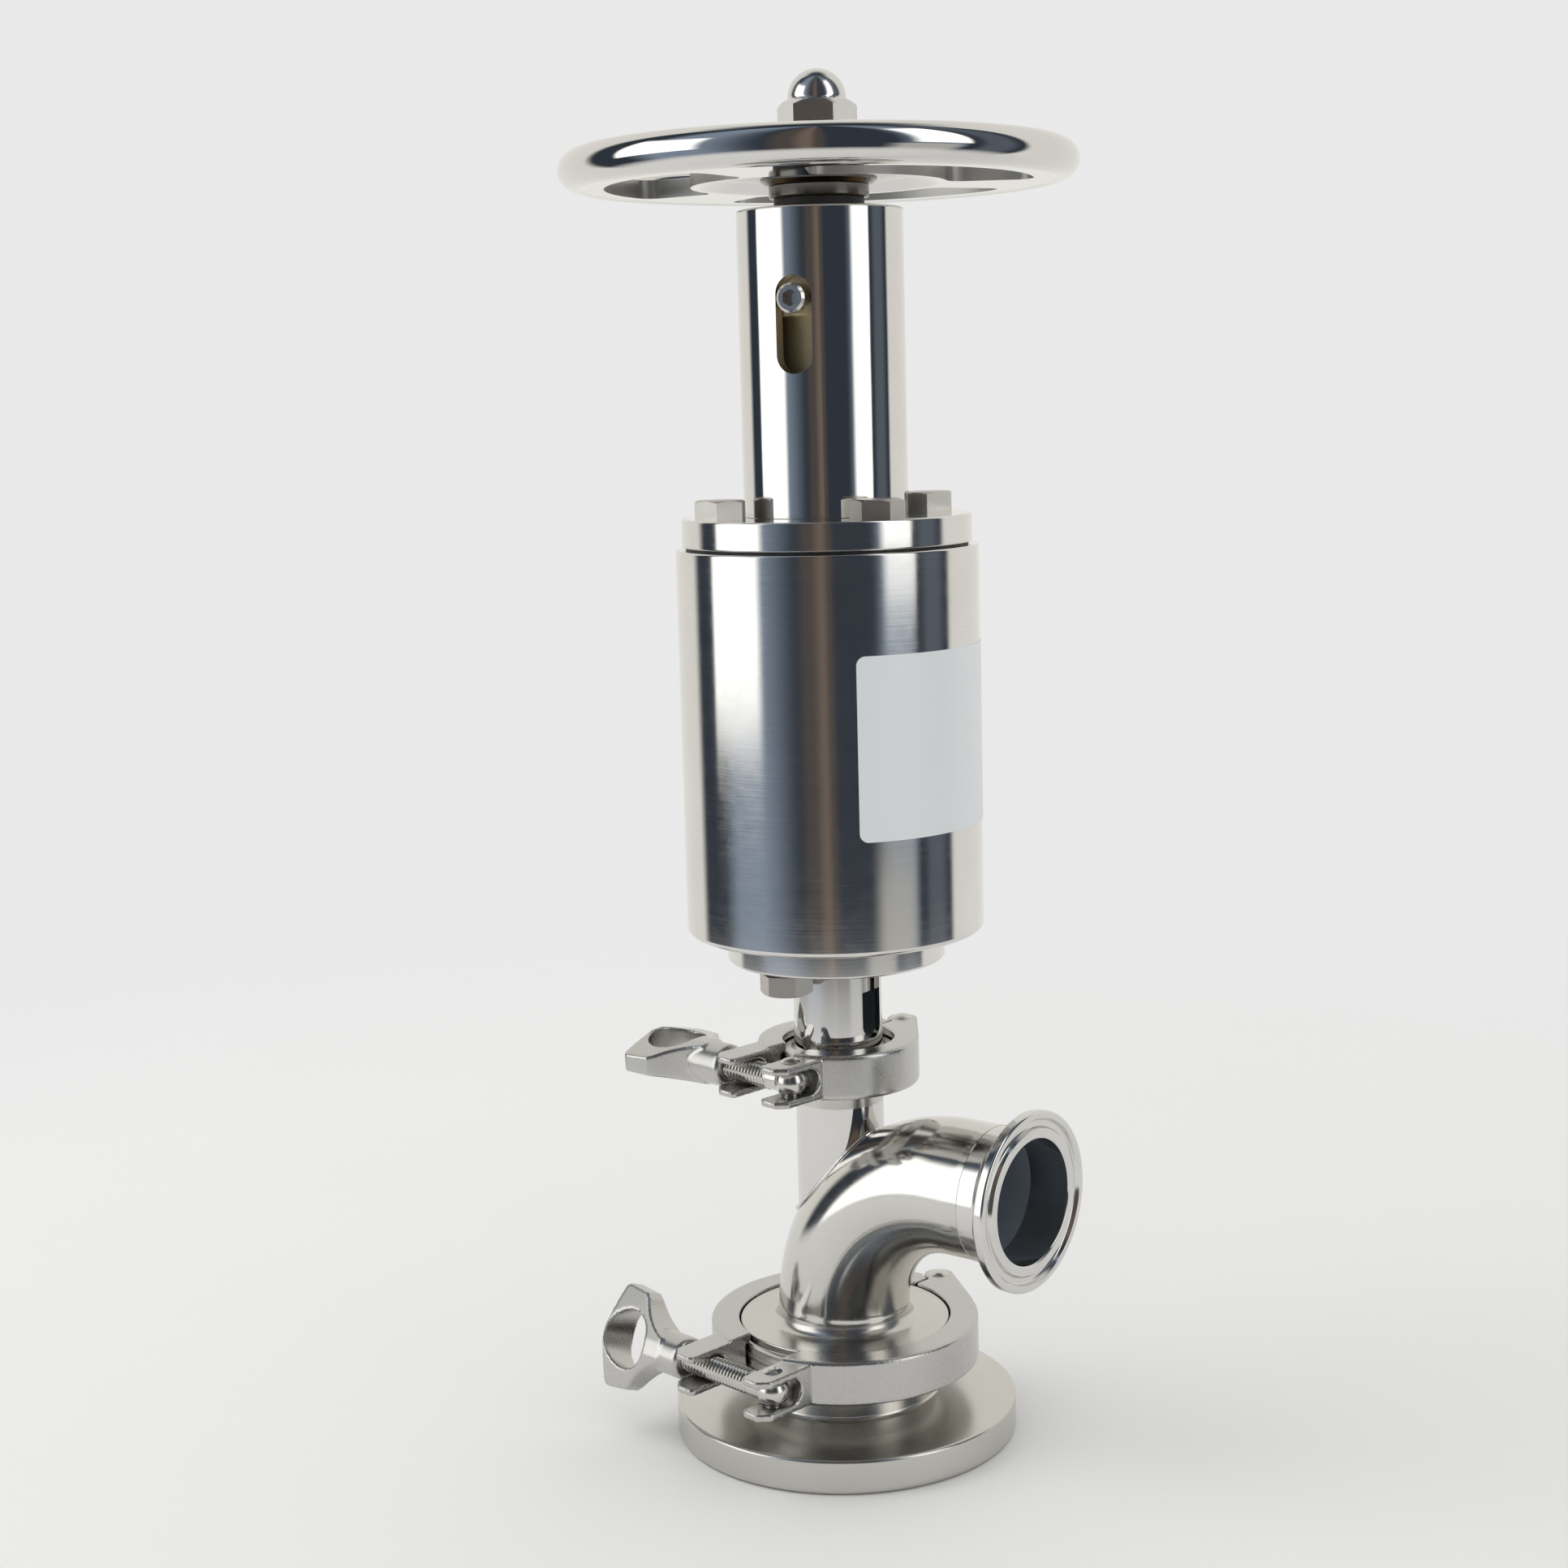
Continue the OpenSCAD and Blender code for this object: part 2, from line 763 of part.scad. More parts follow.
// Boss that joins the yoke to the cylinder and carries the rod's guide and the air port
module mounting_boss() {
    color("lightgray")
        difference() {
            rotate_extrude()
                difference() {
                    polygon([
                        [tube_bore_r, boss_bottom], [boss_r, boss_bottom], [boss_r, cylinder_bottom],
                        [spigot_r, cylinder_bottom], [spigot_r, floor_top], [guide_r, floor_top],
                        [guide_r, boss_bottom + boss_web], [tube_bore_r, boss_bottom + boss_web]
                    ]);
                    round_off([boss_r, boss_bottom], 0.8, [-1, 1]);
                }
            rotate([0, 0, port_turn])
                translate([port_circle_r, 0, boss_bottom - over])
                    cylinder(r = port_screw_r, h = cylinder_bottom - boss_bottom);
            rotate([0, 0, port_turn])
                translate([port_circle_r - port_screw_r, 0, boss_bottom + 6])
                    cylinder(r = air_way_r, h = 10);
        }
}

module air_port_plug() {
    color("silver")
        rotate([0, 0, port_turn])
            translate([port_circle_r, 0, boss_bottom]) {
                translate([0, 0, -port_washer_t])
                    mirror([0, 0, 1])
                        hex_head(port_flats, 0, port_head_h);
                post(port_screw_r, -port_washer_t, 6);
            }
}

module air_port_washer() {
    color("black")
        rotate([0, 0, port_turn])
            translate([port_circle_r, 0, boss_bottom])
                sleeve(6.2, port_screw_r, -port_washer_t, 0);
}

module rod_guide_bush() {
    color("peru")
        sleeve(guide_r, rod_r + running, boss_bottom + boss_web, floor_top - gland_h);
}

module rod_lower_seal() {
    color("black")
        sleeve(guide_r, rod_r + running, floor_top - gland_h, floor_top - gland_h + seal_h);
}

// Cup with a floor round the boss's spigot
module actuator_cylinder() {
    color("silver")
        difference() {
            rotate_extrude()
                difference() {
                    polygon([
                        [spigot_r, cylinder_bottom], [cylinder_r, cylinder_bottom],
                        [cylinder_r, cylinder_top], [cylinder_bore_r, cylinder_top],
                        [cylinder_bore_r, floor_top], [spigot_r, floor_top]
                    ]);
                    round_off([cylinder_r, cylinder_bottom], 1.6, [-1, 1]);
                    round_off([cylinder_r, cylinder_top], 0.5, [-1, -1]);
                }
            rotate([0, 0, port_turn])
                translate([port_circle_r + 2, 0, cylinder_bottom - over])
                    cylinder(r = air_way_r, h = floor_top - cylinder_bottom + 2 * over);
        }
}

// Blank label wrapped round the cylinder
module rating_label() {
    color("white")
        rotate([0, 0, label_turn])
            rotate_extrude(angle = label_span, $fn = 96)
                translate([cylinder_r, label_bottom]) square([label_t, label_top - label_bottom]);
}

// Piston with a recess in its underside for the nut
module piston() {
    edge_r = cylinder_bore_r - working;
    color("lightgray")
        rotate_extrude()
            polygon([
                [piston_recess_r, piston_bottom], [edge_r, piston_bottom], [edge_r, seal_bottom],
                [seal_groove_r, seal_bottom], [seal_groove_r, seal_top], [edge_r, seal_top],
                [edge_r, piston_top], [rod_r, piston_top], [rod_r, piston_web],
                [piston_recess_r, piston_web]
            ]);
}

module piston_seal() {
    color("black")
        sleeve(cylinder_bore_r - running, seal_groove_r, seal_bottom, seal_top);
}

module piston_nut() {
    color("silver")
        difference() {
            translate([0, 0, piston_web])
                mirror([0, 0, 1])
                    hex_head(24, 0, piston_web - piston_bottom - working);
            post(rod_r, piston_bottom - over, piston_web + over);
        }
}

// Points of one section of the spring's wire, at a turn given in degrees
function wire_ring(turn, height) = [
    for (k = [0 : spring_sides - 1])
        let (a = 360 * k / spring_sides, reach = spring_r + spring_wire_r * cos(a))
            [reach * cos(turn), reach * sin(turn), height + spring_wire_r * sin(a)]
];

// Compression spring between the piston and the end plate
module return_spring() {
    low = piston_top + spring_wire_r + spring_gap;
    high = end_plate_bottom - spring_wire_r - spring_gap;
    steps = spring_turns * spring_steps_per_turn;
    points = [
        for (i = [0 : steps])
            each wire_ring(360 * i / spring_steps_per_turn, low + (high - low) * i / steps)
    ];
    sides = [
        for (i = [0 : steps - 1], k = [0 : spring_sides - 1])
            let (a = i * spring_sides, n = (k + 1) % spring_sides)
                [a + k, a + n, a + n + spring_sides, a + k + spring_sides]
    ];
    first_cap = [for (k = [spring_sides - 1 : -1 : 0]) k];
    last_cap = [for (k = [0 : spring_sides - 1]) steps * spring_sides + k];
    color("steelblue")
        polyhedron(points = points, faces = concat([first_cap, last_cap], sides), convexity = 10);
}

// Piston rod, hollow at the top where the spindle enters it
module piston_rod() {
    color("silver")
        difference() {
            union() {
                post(rod_r, rod_bottom, piston_top + over);
                post(rod_top_r, piston_top, rod_top);
            }
            post(spindle_bore_r, spindle_bore_bottom, rod_top + over);
        }
}

module end_plate() {
    color("lightgray")
        difference() {
            post(cylinder_bore_r, end_plate_bottom, cylinder_top);
            post(rod_top_r + running, end_plate_bottom - over, cylinder_top + over);
            post(gland_r, cylinder_top - gland_h, cylinder_top + over);
            for (k = [0 : 3])
                rotate([0, 0, cover_bolt_turn + 90 * k])
                    translate([cover_bolt_circle_r, 0, 0])
                        post(cover_bolt_r, cover_bolt_end, cylinder_top + over);
        }
}

module rod_upper_seal() {
    color("black")
        sleeve(gland_r, rod_top_r + running, cylinder_top - gland_h, cylinder_top - gland_h + seal_h);
}

module cover_gasket() {
    color("black")
        difference() {
            sleeve(cylinder_bore_r, gland_r + 1, cylinder_top, cover_bottom);
            for (k = [0 : 3])
                rotate([0, 0, cover_bolt_turn + 90 * k])
                    translate([cover_bolt_circle_r, 0, 0])
                        post(cover_bolt_r, cylinder_top - over, cover_bottom + over);
        }
}

module top_cover() {
    color("silver")
        difference() {
            rotate_extrude()
                difference() {
                    translate([rod_top_r + 1, cover_bottom])
                        square([cover_r - rod_top_r - 1, cover_t]);
                    round_off([cover_r, cover_bottom], 0.6, [-1, 1]);
                    round_off([cover_r, cover_top], 0.6, [-1, -1]);
                }
            for (k = [0 : 3])
                rotate([0, 0, cover_bolt_turn + 90 * k])
                    translate([cover_bolt_circle_r, 0, 0])
                        post(cover_bolt_r, cover_bottom - over, cover_top + over);
        }
}

module cover_bolts() {
    color("darkgray")
        for (k = [0 : 3])
            rotate([0, 0, cover_bolt_turn + 90 * k])
                translate([cover_bolt_circle_r, 0, 0]) {
                    hex_head(cover_bolt_flats, cover_top, cover_top + cover_bolt_head_h);
                    post(cover_bolt_r, cover_bolt_end, cover_top + 0.5);
                }
}

// Limit tube with the slot that holds the follower nut from turning
module limit_tube() {
    color("silver")
        difference() {
            rotate_extrude()
                difference() {
                    translate([limit_r - limit_wall, cover_top])
                        square([limit_wall, limit_top - cover_top]);
                    round_off([limit_r, limit_top], 0.6, [-1, -1]);
                }
            rotate([0, 0, slot_turn]) {
                translate([0, -slot_w / 2, slot_bottom + slot_w / 2])
                    cube([limit_r + over, slot_w, slot_top - slot_bottom - slot_w]);
                for (z = [slot_bottom + slot_w / 2, slot_top - slot_w / 2])
                    translate([0, 0, z])
                        rotate([0, 90, 0])
                            cylinder(r = slot_w / 2, h = limit_r + over);
            }
        }
}

module follower_nut() {
    color("darkgoldenrod")
        difference() {
            union() {
                post(nut_head_r, nut_head_bottom, nut_head_top);
                post(nut_skirt_r, nut_skirt_bottom, nut_head_bottom + over);
            }
            post(screw_r + running, rod_top, nut_head_top + over);
            post(rod_top_r, nut_skirt_bottom - over, rod_top);
            rotate([0, 0, slot_turn])
                translate([guide_screw_root, 0, guide_screw_z])
                    rotate([0, 90, 0])
                        cylinder(r = guide_screw_r, h = nut_head_r);
        }
}

// Socket screw that rides in the limit tube's slot
module guide_screw() {
    head_out = limit_r + 2.2;
    bevel = 0.7;
    socket_depth = 3.5;
    shank = head_out - guide_screw_root - bevel;
    color("gray")
        rotate([0, 0, slot_turn])
            difference() {
                translate([guide_screw_root, 0, guide_screw_z])
                    rotate([0, 90, 0]) {
                        cylinder(r = guide_screw_r, h = shank);
                        translate([0, 0, shank])
                            cylinder(r1 = guide_screw_r, r2 = guide_screw_r - bevel, h = bevel);
                    }
                translate([head_out - socket_depth, 0, guide_screw_z])
                    rotate([0, 90, 0])
                        cylinder(r = guide_socket_flats / sqrt(3), h = socket_depth + over, $fn = 6);
            }
}

// Override screw: its flange bears up against the bush, and the handwheel sits on its top
module spindle() {
    color("silver")
        difference() {
            union() {
                post(screw_r, spindle_bottom, spindle_flange_bottom + over);
                post(14, spindle_flange_bottom, journal_bottom);
                post(journal_r, journal_bottom, hub_bottom);
                post(screw_r, hub_bottom, hub_top);
                post(stud_r, hub_top, stud_top);
            }
            translate([screw_r - key_depth, -key_w / 2, hub_bottom + 0.5])
                cube([key_w, key_w, hub_top - hub_bottom]);
        }
}

module thrust_washer() {
    color("peru") sleeve(13.5, journal_r, journal_bottom, bush_bottom - 0.2);
}

module spindle_bush() {
    color("peru")
        sleeve(limit_r - limit_wall, journal_r + running, bush_bottom, limit_top - 0.4);
}

module wiper_ring() {
    color("black") sleeve(12.4, journal_r, limit_top + 0.3, wiper_top);
}

module spindle_collar() {
    collar_r = 13.7;
    color("dimgray")
        rotate_extrude()
            difference() {
                translate([journal_r, wiper_top])
                    square([collar_r - journal_r, collar_top - wiper_top]);
                round_off([collar_r, wiper_top], 0.4, [-1, 1]);
            }
}

// Dark ring with a bevelled edge under the handwheel's hub
module lock_ring() {
    color("dimgray")
        rotate_extrude()
            polygon([
                [journal_r, collar_top], [14.4, collar_top], [16, collar_top + 1.2],
                [16, collar_top + 2], [14.6, hub_bottom], [journal_r, hub_bottom]
            ]);
}

// Points along an arc
function arc(centre, r, from, to, steps) = [
    for (i = [0 : steps])
        let (a = from + (to - from) * i / steps)
            centre + r * [cos(a), sin(a)]
];

// Opening in the web, centred on +X, with rounded corners
module web_opening() {
    corner_r = 5;
    half_span = web_hole_span / 2;
    inner_turn = half_span - asin(corner_r / (web_hole_in + corner_r));
    outer_turn = half_span - asin(corner_r / (web_hole_out - corner_r));
    inner_corner = (web_hole_in + corner_r) * [cos(inner_turn), sin(inner_turn)];
    outer_corner = (web_hole_out - corner_r) * [cos(outer_turn), sin(outer_turn)];
    upper_half = concat(
        arc([0, 0], web_hole_out, 0, outer_turn - 2, 16),
        arc(outer_corner, corner_r, outer_turn, half_span + 90, 10),
        arc(inner_corner, corner_r, half_span + 90, inner_turn + 180, 10),
        arc([0, 0], web_hole_in, inner_turn - 3, 0, 12)
    );
    lower_half = [for (i = [len(upper_half) - 2 : -1 : 1]) [upper_half[i][0], -upper_half[i][1]]];
    polygon(concat(upper_half, lower_half));
}

module handwheel() {
    color("gainsboro")
        difference() {
            rotate_extrude($fn = 128) {
                translate([wheel_r, rim_z]) circle(rim_r);
                polygon([
                    [0, hub_bottom], [28, hub_bottom], [web_hole_in - 2, web_bottom],
                    [wheel_r - 2, web_bottom],
                    [wheel_r - 2, web_top], [26, web_top], [hub_r, hub_top], [0, hub_top]
                ]);
            }
            post(screw_r, hub_bottom - over, hub_top + over);
            translate([screw_r - over, -key_w / 2, hub_bottom - over])
                cube([key_w - key_depth + over, key_w, hub_top - hub_bottom + 2 * over]);
            for (k = [0 : 2])
                rotate([0, 0, web_hole_turn + 120 * k])
                    translate([0, 0, web_bottom - over])
                        linear_extrude(web_top - web_bottom + 2 * over)
                            web_opening();
        }
}

module drive_key() {
    color("gray")
        translate([screw_r - key_depth, -key_w / 2, hub_bottom + 0.5])
            cube([key_w, key_w, hub_top - hub_bottom - 0.5]);
}

module wheel_washer() {
    color("silver") sleeve(11.5, stud_r, hub_top, washer_top);
}

// Closed nut with a domed top
module cap_nut() {
    color("gainsboro")
        difference() {
            union() {
                hex_head(19, washer_top, nut_hex_top);
                post(dome_r, nut_hex_top - over, cap_top - dome_r);
                translate([0, 0, cap_top - dome_r]) sphere(dome_r);
            }
            post(stud_r, washer_top - over, stud_top);
        }
}

tank_pad();
pad_gasket();
lower_ferrule();
outlet_elbow();
outlet_ferrule();
column_tube();
column_ferrule();
yoke_ferrule();
yoke_tube();
stem_guide_bush();
diaphragm();
plug_head();
valve_stem();
stem_coupler();
coupler_pin();
lower_clamp_front();
lower_clamp_rear();
lower_hinge_pin();
lower_pivot_pin();
lower_eye_bolt();
lower_wing_nut();
upper_clamp_front();
upper_clamp_rear();
upper_hinge_pin();
upper_pivot_pin();
upper_eye_bolt();
upper_wing_nut();
mounting_boss();
air_port_plug();
air_port_washer();
rod_guide_bush();
rod_lower_seal();
actuator_cylinder();
rating_label();
piston();
piston_seal();
piston_nut();
return_spring();
piston_rod();
end_plate();
rod_upper_seal();
cover_gasket();
top_cover();
cover_bolts();
limit_tube();
follower_nut();
guide_screw();
spindle();
thrust_washer();
spindle_bush();
wiper_ring();
spindle_collar();
lock_ring();
handwheel();
drive_key();
wheel_washer();
cap_nut();
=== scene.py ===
import bpy
import bmesh
import math
from mathutils import Matrix, Vector


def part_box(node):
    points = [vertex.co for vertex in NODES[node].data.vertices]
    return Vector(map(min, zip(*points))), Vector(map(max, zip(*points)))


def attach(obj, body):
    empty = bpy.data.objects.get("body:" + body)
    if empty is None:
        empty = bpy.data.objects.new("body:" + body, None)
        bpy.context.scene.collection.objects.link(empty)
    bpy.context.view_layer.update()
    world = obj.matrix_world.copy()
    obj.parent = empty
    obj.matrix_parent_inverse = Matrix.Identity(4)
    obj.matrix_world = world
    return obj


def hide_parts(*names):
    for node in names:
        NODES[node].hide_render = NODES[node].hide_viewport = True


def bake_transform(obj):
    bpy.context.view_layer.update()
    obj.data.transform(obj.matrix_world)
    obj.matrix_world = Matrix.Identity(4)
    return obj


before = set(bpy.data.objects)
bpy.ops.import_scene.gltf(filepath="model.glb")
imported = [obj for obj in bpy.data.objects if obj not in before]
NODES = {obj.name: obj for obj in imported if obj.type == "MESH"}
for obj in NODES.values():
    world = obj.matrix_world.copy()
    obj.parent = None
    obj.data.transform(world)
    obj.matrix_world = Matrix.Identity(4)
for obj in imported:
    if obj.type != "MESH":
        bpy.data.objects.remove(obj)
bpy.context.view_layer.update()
SCENE = bpy.context.scene
MM = 0.001

# ---------------------------------------------------------------- camera and studio

# Where the camera stands and the way it looks, in metres and unit vectors
CAMERA_PLACE = Vector((0.42215, -0.53762, 0.29957))
CAMERA_RIGHT = Vector((0.78102, 0.62401, -0.02476))
CAMERA_UP = Vector((-0.07790, 0.13667, 0.98755))
CAMERA_LENS = 56.13
CAMERA_SHIFT = (-0.0119, -0.0029)

# What the camera sees behind the valve, and the even light that falls on it from all round
PALE = (0.818, 0.818, 0.820, 1)
DAYLIGHT = (0.95, 0.95, 0.94, 1)
DEGREES = 180 / math.pi


def make_camera():
    data = bpy.data.cameras.new("camera")
    camera = bpy.data.objects.new("camera", data)
    SCENE.collection.objects.link(camera)
    data.sensor_width = 36
    data.lens = CAMERA_LENS
    data.shift_x, data.shift_y = CAMERA_SHIFT
    data.clip_start = 0.01
    back = CAMERA_RIGHT.cross(CAMERA_UP)
    pose = Matrix((CAMERA_RIGHT, CAMERA_UP, back)).transposed().to_4x4()
    pose.translation = CAMERA_PLACE
    camera.matrix_world = pose
    SCENE.camera = camera


class Graph:
    """Short calls for a node tree. add returns its node; math, dot, step, band and mix return an output."""

    def __init__(self, tree):
        self.tree = tree

    def add(self, kind, inputs=(), **settings):
        node = self.tree.nodes.new(kind)
        for name, value in settings.items():
            setattr(node, name, value)
        for key, value in dict(inputs).items():
            self.set(node.inputs[key], value)
        return node

    def set(self, socket, value):
        if isinstance(value, bpy.types.NodeSocket):
            self.tree.links.new(value, socket)
        else:
            socket.default_value = value

    def math(self, operation, a, b=0.0, clamp=False):
        node = self.add("ShaderNodeMath", {0: a, 1: b}, operation=operation, use_clamp=clamp)
        return node.outputs[0]

    def dot(self, a, b):
        node = self.add("ShaderNodeVectorMath", {0: a, 1: b}, operation="DOT_PRODUCT")
        return node.outputs["Value"]

    def step(self, value, low, high):
        """0 below low, 1 above high, smooth between. With low above high it falls instead."""
        span = {0: value, 1: low, 2: high, 3: 0.0, 4: 1.0}
        node = self.add("ShaderNodeMapRange", span, interpolation_type="SMOOTHSTEP")
        return node.outputs[0]

    def band(self, value, low, high, soft_low, soft_high):
        """1 between low and high and 0 outside them, with edges as soft as the last two say."""
        rise = self.step(value, low - soft_low, low + soft_low)
        fall = self.step(value, high + soft_high, high - soft_high)
        return self.math("MULTIPLY", rise, fall)

    def mix(self, factor, a, b):
        node = self.add("ShaderNodeMix", data_type="RGBA")
        self.set(node.inputs[0], factor)
        self.set(node.inputs[6], a)
        self.set(node.inputs[7], b)
        return node.outputs[2]


def make_world():
    """The studio that the metal reflects: a dark room with a window on either side, white paper behind.

    turn runs round from the camera's side and rise up from the horizon, both in degrees.
    """
    world = bpy.data.worlds.new("studio")
    SCENE.world = world
    world.use_nodes = True
    tree = world.node_tree
    tree.nodes.clear()
    g = Graph(tree)
    front = Vector((CAMERA_PLACE.x, CAMERA_PLACE.y, 0)).normalized()
    right = Vector((-front.y, front.x, 0))
    way = g.add("ShaderNodeTexCoord").outputs["Generated"]
    turn = g.math("ARCTAN2", g.dot(way, right), g.dot(way, front))
    turn = g.math("MULTIPLY", turn, DEGREES)
    rise = g.math("ARCSINE", g.dot(way, (0, 0, 1)))
    rise = g.math("MULTIPLY", rise, DEGREES)
    dark = (0.036, 0.045, 0.062, 1)
    haze = (0.25, 0.31, 0.40, 1)
    dim = (0.11, 0.13, 0.16, 1)
    glow = (0.52, 0.51, 0.48, 1)
    paper = (0.86, 0.85, 0.81, 1)
    window = (1.75, 1.75, 1.72, 1)
    brown = (0.088, 0.075, 0.070, 1)
    warm = (0.19, 0.145, 0.12, 1)
    shade = g.mix(g.band(turn, -84, -40, 10, 18), dark, haze)
    shade = g.mix(g.band(turn, 40, 66, 8, 4), shade, haze)
    shade = g.mix(g.band(turn, 76, 94, 4, 5), shade, dim)
    shade = g.mix(g.band(turn, -21, 3, 5, 2), shade, brown)
    shade = g.mix(g.band(turn, -9, -2, 4, 2), shade, warm)
    near_floor = g.math("MULTIPLY", g.band(turn, 34, 64, 7, 5), g.step(rise, -9.5, -12))
    shade = g.mix(near_floor, shade, glow)
    left_pane = g.math("MULTIPLY", g.band(turn, -97, -54, 2, 4), g.band(rise, -7.8, 40, 1.2, 4))
    shade = g.mix(left_pane, shade, window)
    right_pane = g.math("MULTIPLY", g.band(turn, 43, 69, 4, 1.5), g.band(rise, -4.4, 60, 1.2, 4))
    shade = g.mix(right_pane, shade, window)
    behind = g.math("MAXIMUM", g.step(turn, 99, 105), g.step(turn, -113, -123))
    behind = g.math("MULTIPLY", behind, g.step(rise, 75, 55))
    shade = g.mix(behind, shade, paper)
    path = g.add("ShaderNodeLightPath")
    sky = g.mix(path.outputs["Is Glossy Ray"], DAYLIGHT, shade)
    sky = g.mix(path.outputs["Is Camera Ray"], sky, PALE)
    back = g.add("ShaderNodeBackground", {"Color": sky, "Strength": 1.0})
    out = g.add("ShaderNodeOutputWorld")
    tree.links.new(back.outputs[0], out.inputs[0])


make_camera()
make_world()
SCENE.view_settings.view_transform = "Standard"


# ---------------------------------------------------------------- materials

# How closely the patterns on a surface repeat, per metre
FINE_GRAIN = 2600
GRIT_GRAIN = 1500
SMUDGES = 240
CLOUDS = 55
WAVES = 48
# Metres of pattern for each radian of turn: small, so that the grain runs round the piece
TURN_STRETCH = 0.0005


def new_material(name):
    material = bpy.data.materials.new(name)
    material.use_nodes = True
    g = Graph(material.node_tree)
    return material, g, material.node_tree.nodes["Principled BSDF"]


def noise(g, vector, scale, detail=2.0, roughness=0.5):
    node = g.add("ShaderNodeTexNoise", {"Scale": scale, "Detail": detail, "Roughness": roughness})
    g.set(node.inputs["Vector"], vector)
    return node.outputs["Fac"]


def turned_coordinates(g, place, along):
    """Coordinates that run round an axis: radius, turn and height, in metres of pattern."""
    point = g.add("ShaderNodeTexCoord").outputs["Object"]
    shifted = g.add("ShaderNodeVectorMath", {0: point, 1: place}, operation="SUBTRACT").outputs[0]
    parts = g.add("ShaderNodeSeparateXYZ", {0: shifted}).outputs
    order = {"z": (0, 1, 2), "x": (1, 2, 0)}[along]
    a, b, height = (parts[i] for i in order)
    radius = g.math("SQRT", g.math("ADD", g.math("MULTIPLY", a, a), g.math("MULTIPLY", b, b)))
    turn = g.math("MULTIPLY", g.math("ARCTAN2", a, b), TURN_STRETCH)
    return g.add("ShaderNodeCombineXYZ", {0: radius, 1: turn, 2: height}).outputs[0]


def bumped(g, shader, layers):
    """Stacks bump layers on a shader: each is a height from 0 to 1 and its depth in metres."""
    normal = None
    for height, depth in layers:
        bump = g.add("ShaderNodeBump", {"Height": height, "Distance": depth, "Strength": 1.0})
        if normal is not None:
            g.set(bump.inputs["Normal"], normal)
        normal = bump.outputs["Normal"]
    if normal is not None:
        g.set(shader.inputs["Normal"], normal)


def metal(name, tint, rough, spread, grain, place=(0, 0, 0), along="z", wave=0.0, streak=0.0, grit=0.0):
    """Bare metal. grain is turned or cast; wave, streak and grit are bump depths in metres.

    A turned grain runs round the axis through place that points along z or x.
    """
    material, g, shader = new_material(name)
    point = g.add("ShaderNodeTexCoord").outputs["Object"]
    shader.inputs["Metallic"].default_value = 1.0
    if grain == "turned":
        fine = noise(g, turned_coordinates(g, place, along), FINE_GRAIN, 3, 0.65)
    else:
        fine = noise(g, point, FINE_GRAIN, 3, 0.6)
    cloud = noise(g, point, CLOUDS, 3, 0.6)
    smudge = noise(g, point, SMUDGES, 4, 0.65)
    tone = g.math("ADD", g.math("MULTIPLY", cloud, 0.5), g.math("MULTIPLY", fine, 0.5))
    dull = [c * 0.90 for c in tint]
    g.set(shader.inputs["Base Color"], g.mix(g.step(tone, 0.15, 0.85), (*dull, 1), (*tint, 1)))
    patch = g.math("ADD", g.math("MULTIPLY", smudge, 0.4), g.math("MULTIPLY", fine, 0.6))
    roughness = g.add("ShaderNodeMapRange", {0: patch, 1: 0.3, 2: 0.7, 3: rough - spread, 4: rough + spread})
    g.set(shader.inputs["Roughness"], roughness.outputs[0])
    layers = []
    if wave:
        layers.append((noise(g, point, WAVES, 1, 0.4), wave))
    if streak:
        layers.append((fine, streak))
    if grit:
        layers.append((noise(g, point, GRIT_GRAIN, 2, 0.6), grit))
    bumped(g, shader, layers)
    return material


def plain(name, tint, rough, scale, depth, sheen=0.0, contrast=0.82):
    """Rubber, plastic and film: mottled colour, uneven gloss and a fine skin."""
    material, g, shader = new_material(name)
    point = g.add("ShaderNodeTexCoord").outputs["Object"]
    mottle = noise(g, point, scale, 4, 0.6)
    g.set(shader.inputs["Base Color"], g.mix(mottle, (*[c * contrast for c in tint], 1), (*tint, 1)))
    uneven = g.add("ShaderNodeMapRange", {0: mottle, 1: 0.3, 2: 0.7, 3: rough * 0.8, 4: rough * 1.2})
    g.set(shader.inputs["Roughness"], uneven.outputs[0])
    bumped(g, shader, [(noise(g, point, scale * 6, 2, 0.5), depth)])
    if sheen:
        shader.inputs["Sheen Weight"].default_value = sheen
    return material


STEEL = (0.74, 0.73, 0.705)
MICRON = 0.000001
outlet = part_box("outlet_ferrule")
# The outlet's axis runs along X through this point
outlet_axis = (0, 0, (outlet[0][2] + outlet[1][2]) / 2)

